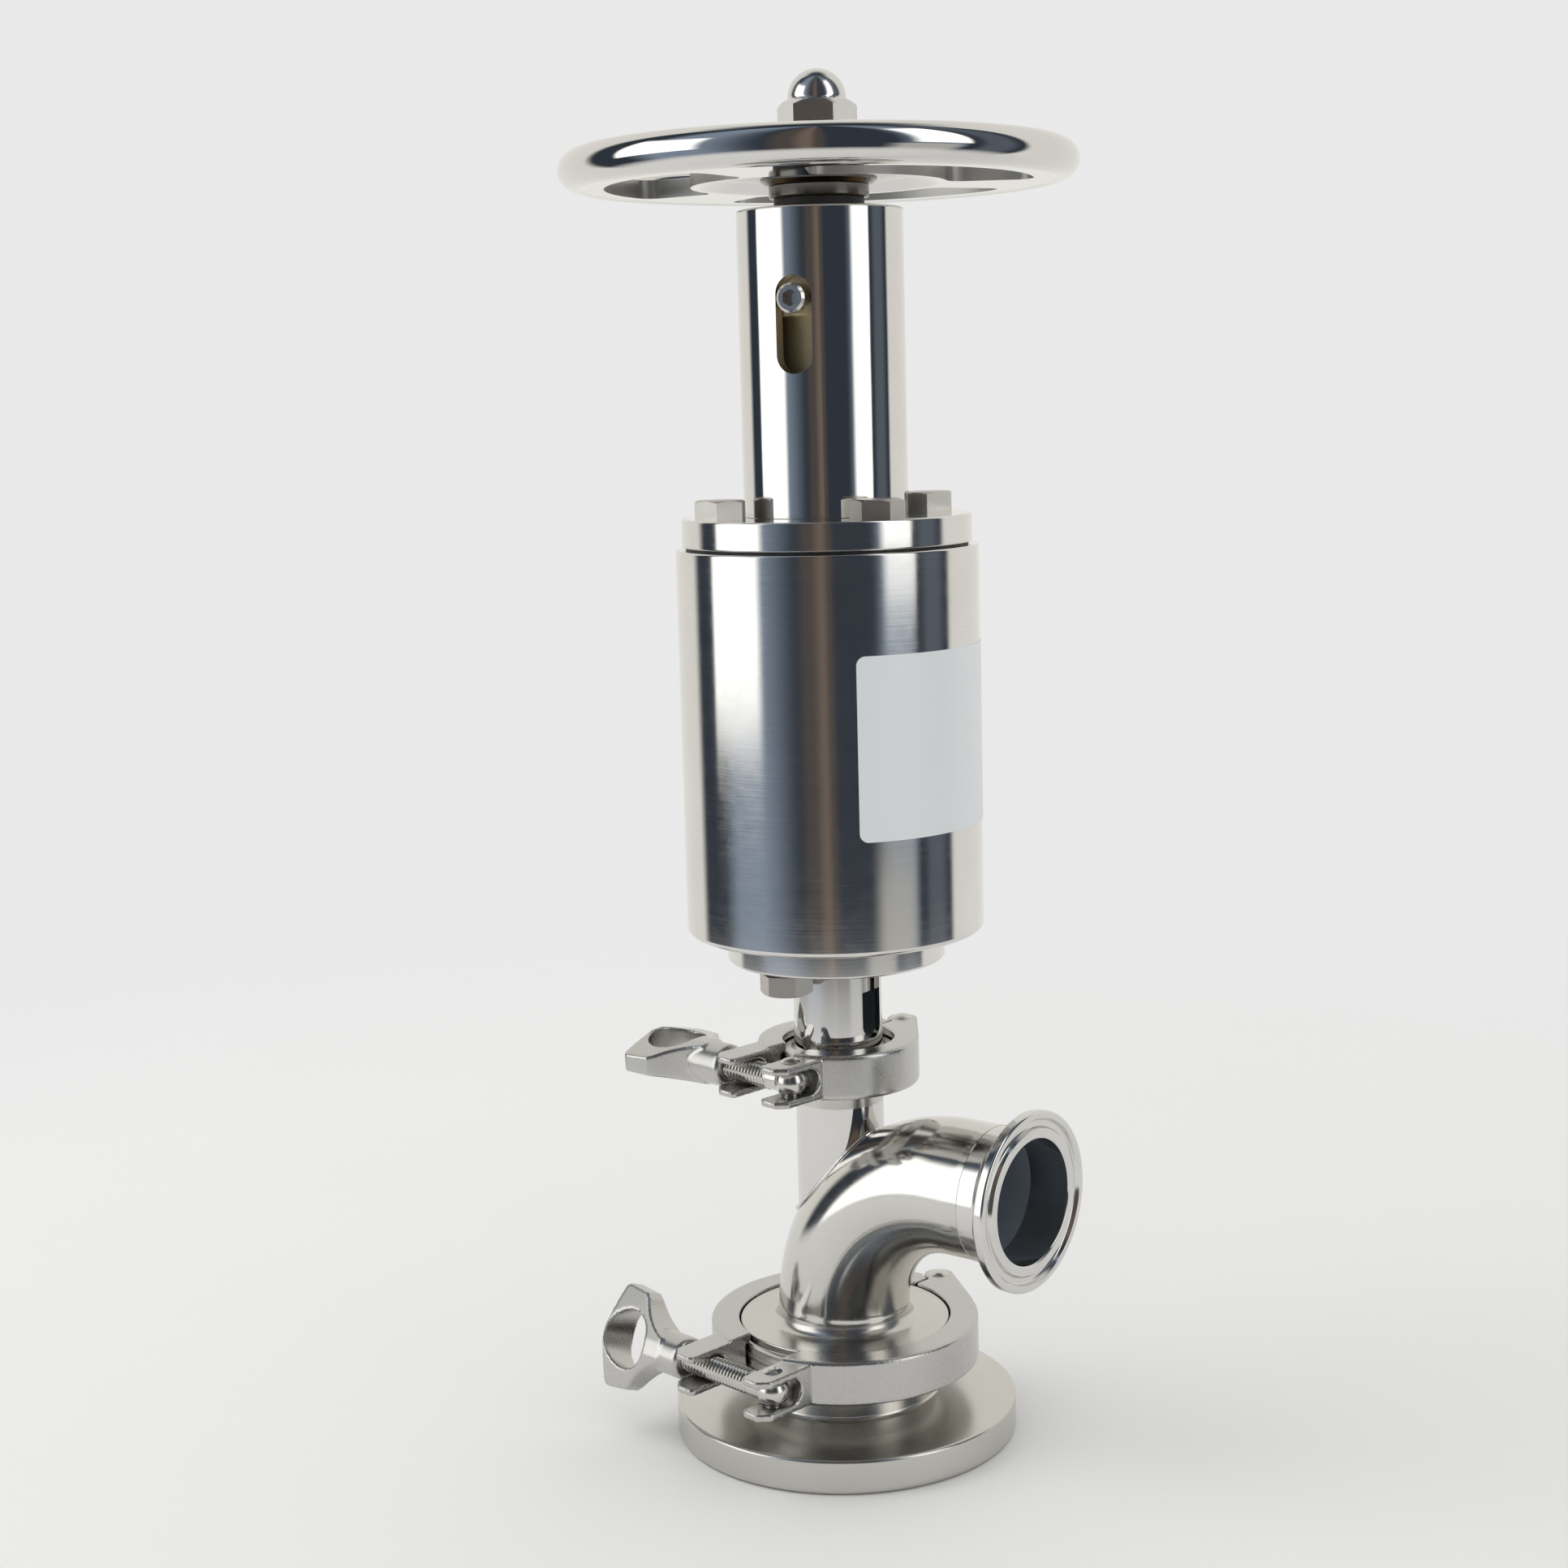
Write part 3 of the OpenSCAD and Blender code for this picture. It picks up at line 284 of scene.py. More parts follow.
MATERIALS = {
    "mirror": metal("mirror_steel", STEEL, 0.055, 0.025, "cast", wave=60 * MICRON, grit=0.15 * MICRON),
    "turned": metal("turned_steel", STEEL, 0.11, 0.04, "turned", wave=35 * MICRON, streak=0.9 * MICRON),
    "satin": metal("satin_steel", (0.64, 0.625, 0.59), 0.25, 0.03, "turned", streak=0.8 * MICRON),
    "ground": metal("ground_steel", (0.80, 0.78, 0.74), 0.42, 0.04, "turned", streak=0.5 * MICRON),
    "bore": metal("bore_steel", (0.70, 0.76, 0.84), 0.50, 0.05, "cast", grit=1 * MICRON),
    "machined": metal(
        "machined_steel", (0.52, 0.51, 0.49), 0.34, 0.05, "cast", wave=60 * MICRON, grit=1 * MICRON),
    "capped": metal("cap_nut_steel", (0.72, 0.71, 0.69), 0.16, 0.04, "cast", grit=0.5 * MICRON),
    "outlet": metal("outlet_steel", STEEL, 0.12, 0.04, "turned", outlet_axis, "x", streak=1.5 * MICRON),
    "elbow": metal(
        "elbow_steel", (0.70, 0.685, 0.65), 0.125, 0.05, "cast", wave=70 * MICRON, grit=0.6 * MICRON),
    "cast": metal(
        "cast_steel", (0.575, 0.565, 0.545), 0.28, 0.05, "cast", wave=25 * MICRON, grit=2.2 * MICRON),
    "hexagon": metal("hexagon_steel", (0.54, 0.52, 0.485), 0.36, 0.05, "cast", grit=1.5 * MICRON),
    "bolt": metal("bolt_steel", (0.66, 0.645, 0.61), 0.19, 0.05, "cast", grit=1 * MICRON),
    "dark": metal("dark_steel", (0.175, 0.168, 0.155), 0.20, 0.03, "turned", streak=0.4 * MICRON),
    "brass": metal("turned_brass", (0.96, 0.80, 0.50), 0.48, 0.04, "turned", streak=1 * MICRON),
    "bronze": metal("bearing_bronze", (0.62, 0.42, 0.24), 0.35, 0.06, "turned", streak=5 * MICRON),
    "spring": metal("spring_steel", (0.34, 0.36, 0.40), 0.33, 0.08, "cast", grit=3 * MICRON),
    "rubber": plain("black_rubber", (0.030, 0.030, 0.032), 0.55, 400, 8 * MICRON, sheen=0.1),
    "moulded": plain("moulded_elastomer", (0.085, 0.085, 0.088), 0.60, 300, 10 * MICRON, sheen=0.1),
    "ptfe": plain("white_plastic", (0.82, 0.82, 0.79), 0.42, 260, 5 * MICRON),
    "film": plain("label_film", (0.66, 0.685, 0.70), 0.34, 30, 0.4 * MICRON, contrast=0.97),
}

FINISH = {
    "mirror": ("column_tube", "yoke_tube", "piston_rod", "limit_tube", "handwheel"),
    "elbow": ("outlet_elbow",),
    "capped": ("cap_nut",),
    "turned": ("actuator_cylinder", "top_cover", "mounting_boss", "end_plate", "piston", "spindle"),
    "satin": ("tank_pad", "lower_ferrule", "column_ferrule", "yoke_ferrule", "stem_coupler"),
    "ground": ("valve_stem",),
    "outlet": ("outlet_ferrule",),
    "cast": (
        "lower_clamp_front", "lower_clamp_rear", "lower_wing_nut",
        "upper_clamp_front", "upper_clamp_rear", "upper_wing_nut"),
    "bolt": (
        "lower_hinge_pin", "lower_pivot_pin", "lower_eye_bolt", "upper_hinge_pin", "upper_pivot_pin",
        "upper_eye_bolt", "guide_screw", "drive_key", "wheel_washer", "piston_nut", "coupler_pin"),
    "hexagon": ("cover_bolts", "air_port_plug"),
    "dark": ("spindle_collar", "lock_ring"),
    "brass": ("follower_nut",),
    "bronze": ("rod_guide_bush", "thrust_washer", "spindle_bush"),
    "spring": ("return_spring",),
    "rubber": (
        "air_port_washer", "rod_lower_seal", "piston_seal", "rod_upper_seal", "cover_gasket", "wiper_ring"),
    "moulded": ("diaphragm", "plug_head"),
    "ptfe": ("pad_gasket", "stem_guide_bush"),
    "film": ("rating_label",),
}


def paint(piece, finish):
    piece.data.materials.clear()
    piece.data.materials.append(MATERIALS[finish])


for finish, names in FINISH.items():
    for name in names:
        paint(NODES[name], finish)


# ---------------------------------------------------------------- mesh helpers

# Lays an upright prism down: it then points along X, and its outline's X and Y run along Y and Z
LAID = Matrix(((0, 0, 1, 0), (1, 0, 0, 0), (0, 1, 0, 0), (0, 0, 0, 1)))


def arc_points(centre, radius, start, end, steps):
    """Points along an arc, in degrees, both ends included."""
    turns = [math.radians(start + (end - start) * i / steps) for i in range(steps + 1)]
    return [(centre[0] + radius * math.cos(t), centre[1] + radius * math.sin(t)) for t in turns]


def polar(radius, turn):
    """A point at a radius and a turn in degrees."""
    return radius * math.cos(math.radians(turn)), radius * math.sin(math.radians(turn))


def rounded(corners, steps=5):
    """Closed outline through (x, y, radius) corners, each turned into an arc of its radius."""
    points = []
    for i, (x, y, radius) in enumerate(corners):
        corner = Vector((x, y))
        if radius == 0:
            points.append((x, y))
            continue
        before = (Vector(corners[i - 1][:2]) - corner).normalized()
        after = (Vector(corners[(i + 1) % len(corners)][:2]) - corner).normalized()
        half = before.angle(after) / 2
        centre = corner + (before + after).normalized() * radius / math.sin(half)
        first = corner + before * radius / math.tan(half) - centre
        sweep = first.angle_signed(corner + after * radius / math.tan(half) - centre)
        for k in range(steps + 1):
            spoke = first.copy()
            spoke.rotate(Matrix.Rotation(-sweep * k / steps, 2))
            points.append(tuple(centre + spoke))
    return points


def lathe(shape, outline, segments=128):
    """Adds a turned body to a bmesh: outline is (radius, height) in mm, run anticlockwise."""
    rings = []
    for i in range(segments):
        turn = 2 * math.pi * i / segments
        c, s = math.cos(turn), math.sin(turn)
        rings.append([shape.verts.new((r * c * MM, r * s * MM, h * MM)) for r, h in outline])
    for i in range(segments):
        near, far = rings[i], rings[(i + 1) % segments]
        for j in range(len(outline)):
            k = (j + 1) % len(outline)
            shape.faces.new((near[j], far[j], far[k], near[k]))
    bmesh.ops.remove_doubles(shape, verts=shape.verts, dist=1e-7)
    bmesh.ops.dissolve_degenerate(shape, edges=shape.edges, dist=1e-8)


def prism(shape, outline, bottom, top):
    """Adds an upright prism to a bmesh: outline in mm, run anticlockwise."""
    low = [shape.verts.new((x * MM, y * MM, bottom * MM)) for x, y in outline]
    high = [shape.verts.new((x * MM, y * MM, top * MM)) for x, y in outline]
    shape.faces.new(low[::-1])
    shape.faces.new(high)
    for i in range(len(outline)):
        j = (i + 1) % len(outline)
        shape.faces.new((low[i], low[j], high[j], high[i]))


def grid_tube(shape, rings, closed=False):
    """Joins rings of points into a skin, capped at both ends unless it is closed on itself."""
    made = [[shape.verts.new(p) for p in ring] for ring in rings]
    count = len(rings[0])
    for i in range(len(made) - (0 if closed else 1)):
        near, far = made[i], made[(i + 1) % len(made)]
        for j in range(count):
            k = (j + 1) % count
            shape.faces.new((near[j], near[k], far[k], far[j]))
    if not closed:
        shape.faces.new(made[0][::-1])
        shape.faces.new(made[-1])


def new_object(name, shape):
    """Turns a bmesh into an object of the scene, with its faces pointing outwards."""
    bmesh.ops.recalc_face_normals(shape, faces=shape.faces)
    mesh = bpy.data.meshes.new(name)
    shape.to_mesh(mesh)
    shape.free()
    thing = bpy.data.objects.new(name, mesh)
    SCENE.collection.objects.link(thing)
    return thing


def settle(thing):
    """Makes an object's modifiers part of its mesh."""
    bpy.context.view_layer.update()
    seen = thing.evaluated_get(bpy.context.evaluated_depsgraph_get())
    mesh = bpy.data.meshes.new_from_object(seen)
    thing.modifiers.clear()
    thing.data = mesh


def join_points(shape, reach):
    """Joins a bmesh's points nearer than reach, in mm, and drops the faces that this flattens."""
    bmesh.ops.remove_doubles(shape, verts=shape.verts, dist=reach * MM)
    bmesh.ops.dissolve_degenerate(shape, edges=shape.edges, dist=reach * MM)


def weld(thing, reach):
    """Joins an object's points nearer than reach, in mm, and closes the pinholes that cutting leaves."""
    shape = bmesh.new()
    shape.from_mesh(thing.data)
    join_points(shape, reach)
    bmesh.ops.holes_fill(shape, edges=[e for e in shape.edges if e.is_boundary], sides=0)
    bmesh.ops.triangulate(shape, faces=[f for f in shape.faces if len(f.verts) > 4])
    join_points(shape, reach)
    shape.to_mesh(thing.data)
    shape.free()


def cut(thing, tool, operation="DIFFERENCE"):
    """Cuts a tool out of an object, or joins or intersects the two, and removes the tool.

    A tool whose outline crosses itself can empty the object without a word, so that is an error here.
    """
    change = thing.modifiers.new("cut", "BOOLEAN")
    change.operation = operation
    change.solver = "EXACT"
    change.object = tool
    settle(thing)
    left = bmesh.new()
    left.from_mesh(thing.data)
    volume = left.calc_volume()
    left.free()
    if volume <= 0:
        raise ValueError(f"{tool.name} leaves nothing of {thing.name}")
    bpy.data.objects.remove(tool)


def soften(thing, width, angle=35, segments=3):
    """Rounds an object's sharp edges by width in mm."""
    edge = thing.modifiers.new("edge", "BEVEL")
    edge.width = width * MM
    edge.segments = segments
    edge.limit_method = "ANGLE"
    edge.angle_limit = math.radians(angle)
    edge.miter_outer = "MITER_ARC"
    even = thing.modifiers.new("even", "WEIGHTED_NORMAL")
    even.keep_sharp = True


def cast(thing, grain_size, rounds):
    """Gives an object the soft edges of a casting: grain size in mm, and rounds of smoothing."""
    grain = thing.modifiers.new("grain", "REMESH")
    grain.mode = "VOXEL"
    grain.voxel_size = grain_size * MM
    grain.use_smooth_shade = True
    ease = thing.modifiers.new("ease", "SMOOTH")
    ease.iterations = rounds
    ease.factor = 0.5


def smooth(thing, angle):
    """Shades an object smooth, but leaves edges sharper than the angle in degrees."""
    mesh = thing.data
    mesh.shade_smooth()
    mesh.set_sharp_from_angle(angle=math.radians(angle))
    even = thing.modifiers.new("even", "WEIGHTED_NORMAL")
    even.keep_sharp = True


def finish_piece(piece, finish, body, slot, *nodes):
    """Paints a piece, puts it on a body and hides the CAD nodes it stands in for; slot is not used."""
    paint(piece, finish)
    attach(piece, body)
    if nodes:
        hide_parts(*nodes)


# ---------------------------------------------------------------- clamps

CLAMP_TURN = math.radians(-6)
# The eye bolts' pivots, in mm along the clamp's own axes
LOWER_PIVOT = (14.2, -44.0, 27.6)
UPPER_PIVOT = (7.1, -26.8, 110.9)
# From a pivot to its wing nut's seat: to the rear lug, through it, and the gap that is left
LUG_W = 9
NUT_GAP = 1.0
LOWER_REACH = 9.2 + LUG_W + NUT_GAP + LOWER_PIVOT[0]
UPPER_REACH = 6.6 + LUG_W + NUT_GAP + UPPER_PIVOT[0]
BOLT_R = 3.5
THREAD_IN_NUT = 9.0


def wing_outline():
    """Half the outline of a wing nut, from the hub round one blunt tip to the middle of its bowed end."""
    length, bow = 31.4, 66
    flank = arc_points((1.7, 22.8), 19.8, -73, -30, 12)
    tip = [(20.4, 14.35), (28.0, 15.2)]
    corner = arc_points((28.2, 13.4), 1.8, 90, 14, 5)
    end = arc_points((length - bow, 0), bow, 10.5, 0, 10)
    return flank + tip + corner + end


def wing_nut(name, node, seat, tilt, body):
    """Cast nut: a round hub that opens into a head with an eye, thick in the middle and thin at its tips.

    It is built along X from its seat, then turned by tilt and set down on the seat, facing the bolt.
    """
    hub_r, hub_length, eye_at, eye_r = 6.2, 12.0, 22.5, 8.4
    half, tip_half, flat_half, tip_at = 6.25, 2.3, 2, 16
    upper = wing_outline()
    lower = [(x, -y) for x, y in upper[:-1]]
    shape = bmesh.new()
    prism(shape, lower + upper[::-1], -half, half)
    body_piece = new_object(name, shape)
    lens = bmesh.new()
    side = [
        (-tip_at, -tip_half), (-flat_half, -half), (flat_half, -half), (tip_at, -tip_half),
        (tip_at, tip_half), (flat_half, half), (-flat_half, half), (-tip_at, tip_half)]
    prism(lens, side, 0, 40)
    lens.transform(LAID)
    cut(body_piece, new_object("lens", lens), "INTERSECT")
    hub = bmesh.new()
    lathe(hub, [(0, 0), (hub_r - 0.6, 0), (hub_r, 1), (hub_r, hub_length), (0, hub_length)], 64)
    hub.transform(Matrix.Rotation(math.pi / 2, 4, "Y"))
    cut(body_piece, new_object("hub", hub), "UNION")
    eye = bmesh.new()
    prism(eye, arc_points((eye_at, 0), eye_r, 0, 354, 59), -20, 20)
    cut(body_piece, new_object("eye", eye))
    thread = bmesh.new()
    lathe(thread, [(0, -1), (BOLT_R, -1), (BOLT_R, THREAD_IN_NUT + 0.5), (0, THREAD_IN_NUT + 0.5)], 48)
    thread.transform(Matrix.Rotation(math.pi / 2, 4, "Y"))
    cut(body_piece, new_object("thread", thread))
    cast(body_piece, 0.34, 12)
    settle(body_piece)
    place = (
        Matrix.Translation(Vector(seat) * MM)
        @ Matrix.Rotation(CLAMP_TURN, 4, "Z")
        @ Matrix.Rotation(tilt, 4, "X")
        @ Matrix.Scale(-1, 4, (1, 0, 0))
    )
    body_piece.data.transform(place)
    body_piece.data.flip_normals()
    body_piece.data.shade_smooth()
    finish_piece(body_piece, "cast", body, "cast_steel", node)


def clamp_point(x, y, z):
    """A point given along the clamp's own axes, in mm, turned into the model's frame."""
    c, s = math.cos(CLAMP_TURN), math.sin(CLAMP_TURN)
    return (x * c - y * s, x * s + y * c, z)


def eye_bolt(name, node, pivot, length, body):
    """Eye bolt with a rolled thread, and a barrel-shaped eye round the pivot pin."""
    depth, pitch, smooth_to, clearance = 0.42, 1.25, 7.0, 0.03
    sides, steps = 40, int(length / 0.125)
    shape = bmesh.new()
    rings = []
    for i in range(steps + 1):
        along = length * i / steps
        ring = []
        for k in range(sides):
            turn = 2 * math.pi * k / sides
            wave = abs((along / pitch - k / sides) % 1 - 0.5) * 2
            fade = min(1, max(0, (along - smooth_to) / 1.5))
            chamfer = max(0, along - (length - 1.0))
            r = BOLT_R - clearance - depth * fade * (wave * wave * (3 - 2 * wave)) - chamfer * 0.7
            ring.append((-along * MM, r * math.cos(turn) * MM, r * math.sin(turn) * MM))
        rings.append(ring)
    grid_tube(shape, rings)
    bolt = new_object(name, shape)
    eye = bmesh.new()
    half, bore, edge_r, barrel_r = 3.1, 2.35, 3.1, 4.55
    side = [
        (barrel_r * math.cos(t), barrel_r * math.sin(t) * half / 2.95)
        for t in (math.radians(a) for a in range(-36, 37, 6))]
    lathe(eye, [(bore, -half), (edge_r, -half)] + side + [(edge_r, half), (bore, half)], 64)
    cut(bolt, new_object("eye", eye), "UNION")
    hole = bmesh.new()
    prism(hole, arc_points((0, 0), bore, 0, 350, 35), -10, 10)
    cut(bolt, new_object("hole", hole))
    bolt.data.transform(Matrix.Translation(Vector(pivot) * MM) @ Matrix.Rotation(CLAMP_TURN, 4, "Z"))
    smooth(bolt, 50)
    finish_piece(bolt, "bolt", body, "bolt_steel", node)


def make_clamps():
    """Both clamps' nuts and eye bolts, and the soft edges of their cast halves."""
    for side, pivot, reach, tilt in (
        ("lower", LOWER_PIVOT, LOWER_REACH, math.radians(69)),
        ("upper", UPPER_PIVOT, UPPER_REACH, math.radians(2.5)),
    ):
        seat = clamp_point(pivot[0] - reach, pivot[1], pivot[2])
        wing_nut(f"{side}_wing_nut_cast", f"{side}_wing_nut", seat, tilt, f"{side}_nut")
        eye_bolt(
            f"{side}_eye_bolt_threaded", f"{side}_eye_bolt", clamp_point(*pivot), reach + THREAD_IN_NUT,
            f"{side}_bolt")
        for half in ("front", "rear"):
            cast(NODES[f"{side}_clamp_{half}"], 0.36, 5)


make_clamps()


# ---------------------------------------------------------------- turned pieces

def turned(name, node, finish, body, slot, corners, segments=160):
    """Turned piece in place of a CAD node: corners are (radius, height, rounding) in mm."""
    shape = bmesh.new()
    lathe(shape, rounded(corners), segments)
    piece = new_object(name, shape)
    smooth(piece, 50)
    finish_piece(piece, finish, body, slot, node)
    return piece


def radius_of(node):
    """Half the width of a CAD node across Y, in mm."""
    low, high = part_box(node)
    return (high[1] - low[1]) / 2 / MM


def heights_of(node):
    """Bottom and top of a CAD node, in mm."""
    low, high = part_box(node)
    return low[2] / MM, high[2] / MM


INLET_R = radius_of("plug_head") + 0.3
PIPE_R = radius_of("outlet_elbow")
TUBE_R = radius_of("yoke_tube")
TUBE_BORE_R = radius_of("stem_guide_bush")
PIPE_BORE_R = PIPE_R - 1.55
# Thickness of a clamp flange at its rim
FERRULE_RIM = 2.3
# Radius of the boss's spigot in the foot of the cylinder
SPIGOT_R = 22
# Direction, width and ends of the slot in the limit tube
SLOT_TURN = -71.4
SLOT_WIDTH = 10.2
SLOT_BOTTOM = 305.15
SLOT_TOP = 331.2
# Width and lower end of the window in the yoke tube
WINDOW_WIDTH = 8
WINDOW_BOTTOM = 118.5
COVER_BOLT_CIRCLE_R = 32
COVER_BOLT_TURN = -26.6
COVER_BOLT_R = 4


def make_pad():
    rim = radius_of("tank_pad")
    bottom, top = heights_of("tank_pad")
    flange = radius_of("lower_ferrule")
    turned("vessel_pad_turned", "tank_pad", "satin", "housing", "brushed_steel", [
        (INLET_R, bottom, 0.6), (rim, bottom, 1.6), (rim, bottom + 10, 0.9), (flange - 5.1, bottom + 12, 1.2),
        (flange - 5.1, top - 6, 2), (flange - 1.5, top - 6, 0.3), (flange - 1.5, top - 2.9, 0.2),
        (flange, top - FERRULE_RIM, 0.2), (flange, top, 0.2), (INLET_R, top, 0.2)])


def make_lower_ferrule():
    flange = radius_of("lower_ferrule")
    bottom, top = heights_of("lower_ferrule")
    turned("elbow_ferrule_turned", "lower_ferrule", "satin", "housing", "brushed_steel", [
        (INLET_R, bottom, 0.2), (flange, bottom, 0.3), (flange, bottom + FERRULE_RIM, 0.2),
        (flange - 1.5, bottom + FERRULE_RIM + 0.5, 0.2), (flange - 1.5, bottom + 5, 0.5),
        (PIPE_R, bottom + 5, 3), (PIPE_R, top, 0), (INLET_R, top, 0)])


def make_column_ferrule():
    flange = radius_of("column_ferrule")
    bottom, top = heights_of("column_ferrule")
    turned("column_ferrule_turned", "column_ferrule", "satin", "housing", "brushed_steel", [
        (TUBE_BORE_R, bottom, 0), (TUBE_R, bottom, 0), (TUBE_R, top - 4.5, 2.6),
        (flange - 1.4, top - 4.5, 0.4), (flange - 1.4, top - FERRULE_RIM - 0.5, 0.2),
        (flange, top - FERRULE_RIM, 0.2), (flange, top, 0.3), (TUBE_BORE_R, top, 0)])


def make_yoke_ferrule():
    flange = radius_of("yoke_ferrule")
    bottom, top = heights_of("yoke_ferrule")
    turned("yoke_ferrule_turned", "yoke_ferrule", "satin", "housing", "brushed_steel", [
        (TUBE_R, bottom, 0), (flange, bottom, 0.3), (flange, bottom + FERRULE_RIM, 0.2),
        (flange - 1.4, top - 1, 0.3), (TUBE_R + 0.9, top - 1, 0.8), (TUBE_R, top, 0)])


def make_boss():
    rim = radius_of("mounting_boss")
    bottom, top = heights_of("mounting_boss")
    floor = heights_of("actuator_cylinder")[0]
    recess_r, recess_floor = 13, bottom + 2.4
    turned("mounting_boss_turned", "mounting_boss", "turned", "housing", "brushed_steel", [
        (TUBE_BORE_R, bottom, 0.2), (rim, bottom, 0.8), (rim, floor, 0.25), (SPIGOT_R, floor, 0),
        (SPIGOT_R, top, 0), (recess_r, top, 0), (recess_r, recess_floor, 0), (TUBE_BORE_R, recess_floor, 0)])


def make_cylinder():
    """The cylinder's wall stands a little higher than in the CAD."""
    rim = radius_of("actuator_cylinder")
    bore = radius_of("end_plate")
    bottom, top = heights_of("actuator_cylinder")
    top += 0.85
    foot = bottom + 6
    turned("actuator_cylinder_turned", "actuator_cylinder", "turned", "housing", "polished_steel", [
        (SPIGOT_R, bottom, 0), (rim, bottom, 1.7), (rim, top, 0.6), (bore, top, 0.3), (bore, foot, 0),
        (SPIGOT_R, foot, 0)], 256)


def make_cover():
    """The cover's edges are shaded again once its four bolt holes are cut."""
    bore = 12
    rim = radius_of("top_cover")
    bottom, top = heights_of("top_cover")
    cover = turned("top_cover_turned", "top_cover", "turned", "housing", "brushed_steel", [
        (bore, bottom, 0.2), (rim, bottom, 0.6), (rim, top, 0.6), (bore, top, 0.2)], 256)
    cover.modifiers.clear()
    for k in range(4):
        hole = bmesh.new()
        centre = polar(COVER_BOLT_CIRCLE_R, COVER_BOLT_TURN + 90 * k)
        prism(hole, arc_points(centre, COVER_BOLT_R, 0, 348, 29), bottom - 1, top + 1)
        cut(cover, new_object("hole", hole))
    smooth(cover, 50)


def make_wheel_rings():
    """The rings on the spindle between the limit tube and the handwheel."""
    journal = 9
    for name, node, finish, slot in (
        ("wiper_ring_turned", "wiper_ring", "rubber", "seal_rubber"),
        ("spindle_collar_turned", "spindle_collar", "dark", "dark_steel"),
    ):
        rim = radius_of(node)
        bottom, top = heights_of(node)
        turned(name, node, finish, "handwheel_set", slot, [
            (journal, bottom, 0), (rim, bottom, 0.5), (rim, top, 0.25), (journal, top, 0)])
    rim = radius_of("lock_ring")
    bottom, top = heights_of("lock_ring")
    turned("lock_ring_turned", "lock_ring", "dark", "handwheel_set", "dark_steel", [
        (journal, bottom, 0), (rim - 1.6, bottom, 0.3), (rim, bottom + 1.2, 0.3), (rim, bottom + 2, 0.3),
        (rim - 1.4, top, 0.2), (journal, top, 0)])


def make_outlet_ferrule():
    """The outlet's clamp flange, turned about the outlet's own axis, with a gasket groove in its face."""
    low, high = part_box("outlet_ferrule")
    rim = radius_of("outlet_ferrule")
    face, root = high[0] / MM, (high[0] - low[0]) / MM
    axis = (low[2] + high[2]) / 2 / MM
    groove = [(20.3, 0, 0.25), (20.9, 1.2, 0.5), (22.6, 1.2, 0.5), (23.2, 0, 0.25)]
    back = [(rim, 0, 0.7), (rim, 2.9, 0.8), (PIPE_R + 2, 4.5, 1.6), (PIPE_R, 7.4, 1.5), (PIPE_R, root, 0)]
    shape = bmesh.new()
    lathe(shape, rounded([(PIPE_BORE_R, 0, 0.5)] + groove + back + [(PIPE_BORE_R, root, 0)]), 160)
    turn = Matrix.Rotation(-math.pi / 2, 4, "Y")
    shape.transform(Matrix.Translation(Vector((face, 0, axis)) * MM) @ turn)
    piece = new_object("outlet_ferrule_turned", shape)
    smooth(piece, 50)
    finish_piece(piece, "outlet", "housing", "polished_steel", "outlet_ferrule")


def slot_outline(width, low, high, steps):
    """Upright slot with round ends, run anticlockwise about its middle: (across, height)."""
    r = width / 2
    return arc_points((0, high - r), r, 0, 180, steps) + arc_points((0, low + r), r, 180, 360, steps)


def upright_cutter(name, outline, reach, turn):
    """A prism that points from the axis towards a direction given in degrees."""
    shape = bmesh.new()
    prism(shape, outline, 0, reach)
    shape.transform(Matrix.Rotation(math.radians(turn), 4, "Z") @ LAID)
    return new_object(name, shape)


def make_limit_tube():
    rim = radius_of("limit_tube")
    bottom, top = heights_of("limit_tube")
    bore = radius_of("spindle_bush")
    shape = bmesh.new()
    lathe(shape, rounded([(bore, bottom, 0), (rim, bottom, 0.2), (rim, top, 0.7), (bore, top, 0.4)]), 256)
    piece = new_object("limit_tube_slotted", shape)
    slot = slot_outline(SLOT_WIDTH, SLOT_BOTTOM, SLOT_TOP, 24)
    cut(piece, upright_cutter("slot", slot, rim + 5, SLOT_TURN))
    soften(piece, 0.45, 60, 3)
    settle(piece)
    smooth(piece, 30)
    finish_piece(piece, "mirror", "housing", "polished_steel", "limit_tube")


def make_yoke_tube():
    """The tube above the upper clamp, with a window that faces the outlet and a duller bore."""
    bottom, top = heights_of("yoke_tube")
    shape = bmesh.new()
    lathe(shape, [(TUBE_BORE_R, bottom), (TUBE_R, bottom), (TUBE_R, top), (TUBE_BORE_R, top)], 192)
    piece = new_object("yoke_tube_windowed", shape)
    window = slot_outline(WINDOW_WIDTH, WINDOW_BOTTOM, top - 1.5, 20)
    cut(piece, upright_cutter("window", window, TUBE_R + 5, 0))
    soften(piece, 0.3, 60, 2)
    settle(piece)
    smooth(piece, 30)
    finish_piece(piece, "mirror", "housing", "polished_steel", "yoke_tube")
    piece.data.materials.append(MATERIALS["bore"])
    for face in piece.data.polygons:
        if math.hypot(face.center.x, face.center.y) / MM < TUBE_BORE_R + 0.1:
            face.material_index = 1


make_pad()
make_lower_ferrule()
make_column_ferrule()
make_yoke_ferrule()
make_boss()
make_cylinder()
make_cover()
make_wheel_rings()
make_outlet_ferrule()
make_limit_tube()
make_yoke_tube()


# ---------------------------------------------------------------- pipework

# Radius of the elbow's centre line, and the height its bend starts from
ELBOW_BEND = 43
ELBOW_FOOT = heights_of("lower_ferrule")[1]
OUTLET_Z = outlet_axis[2] / MM


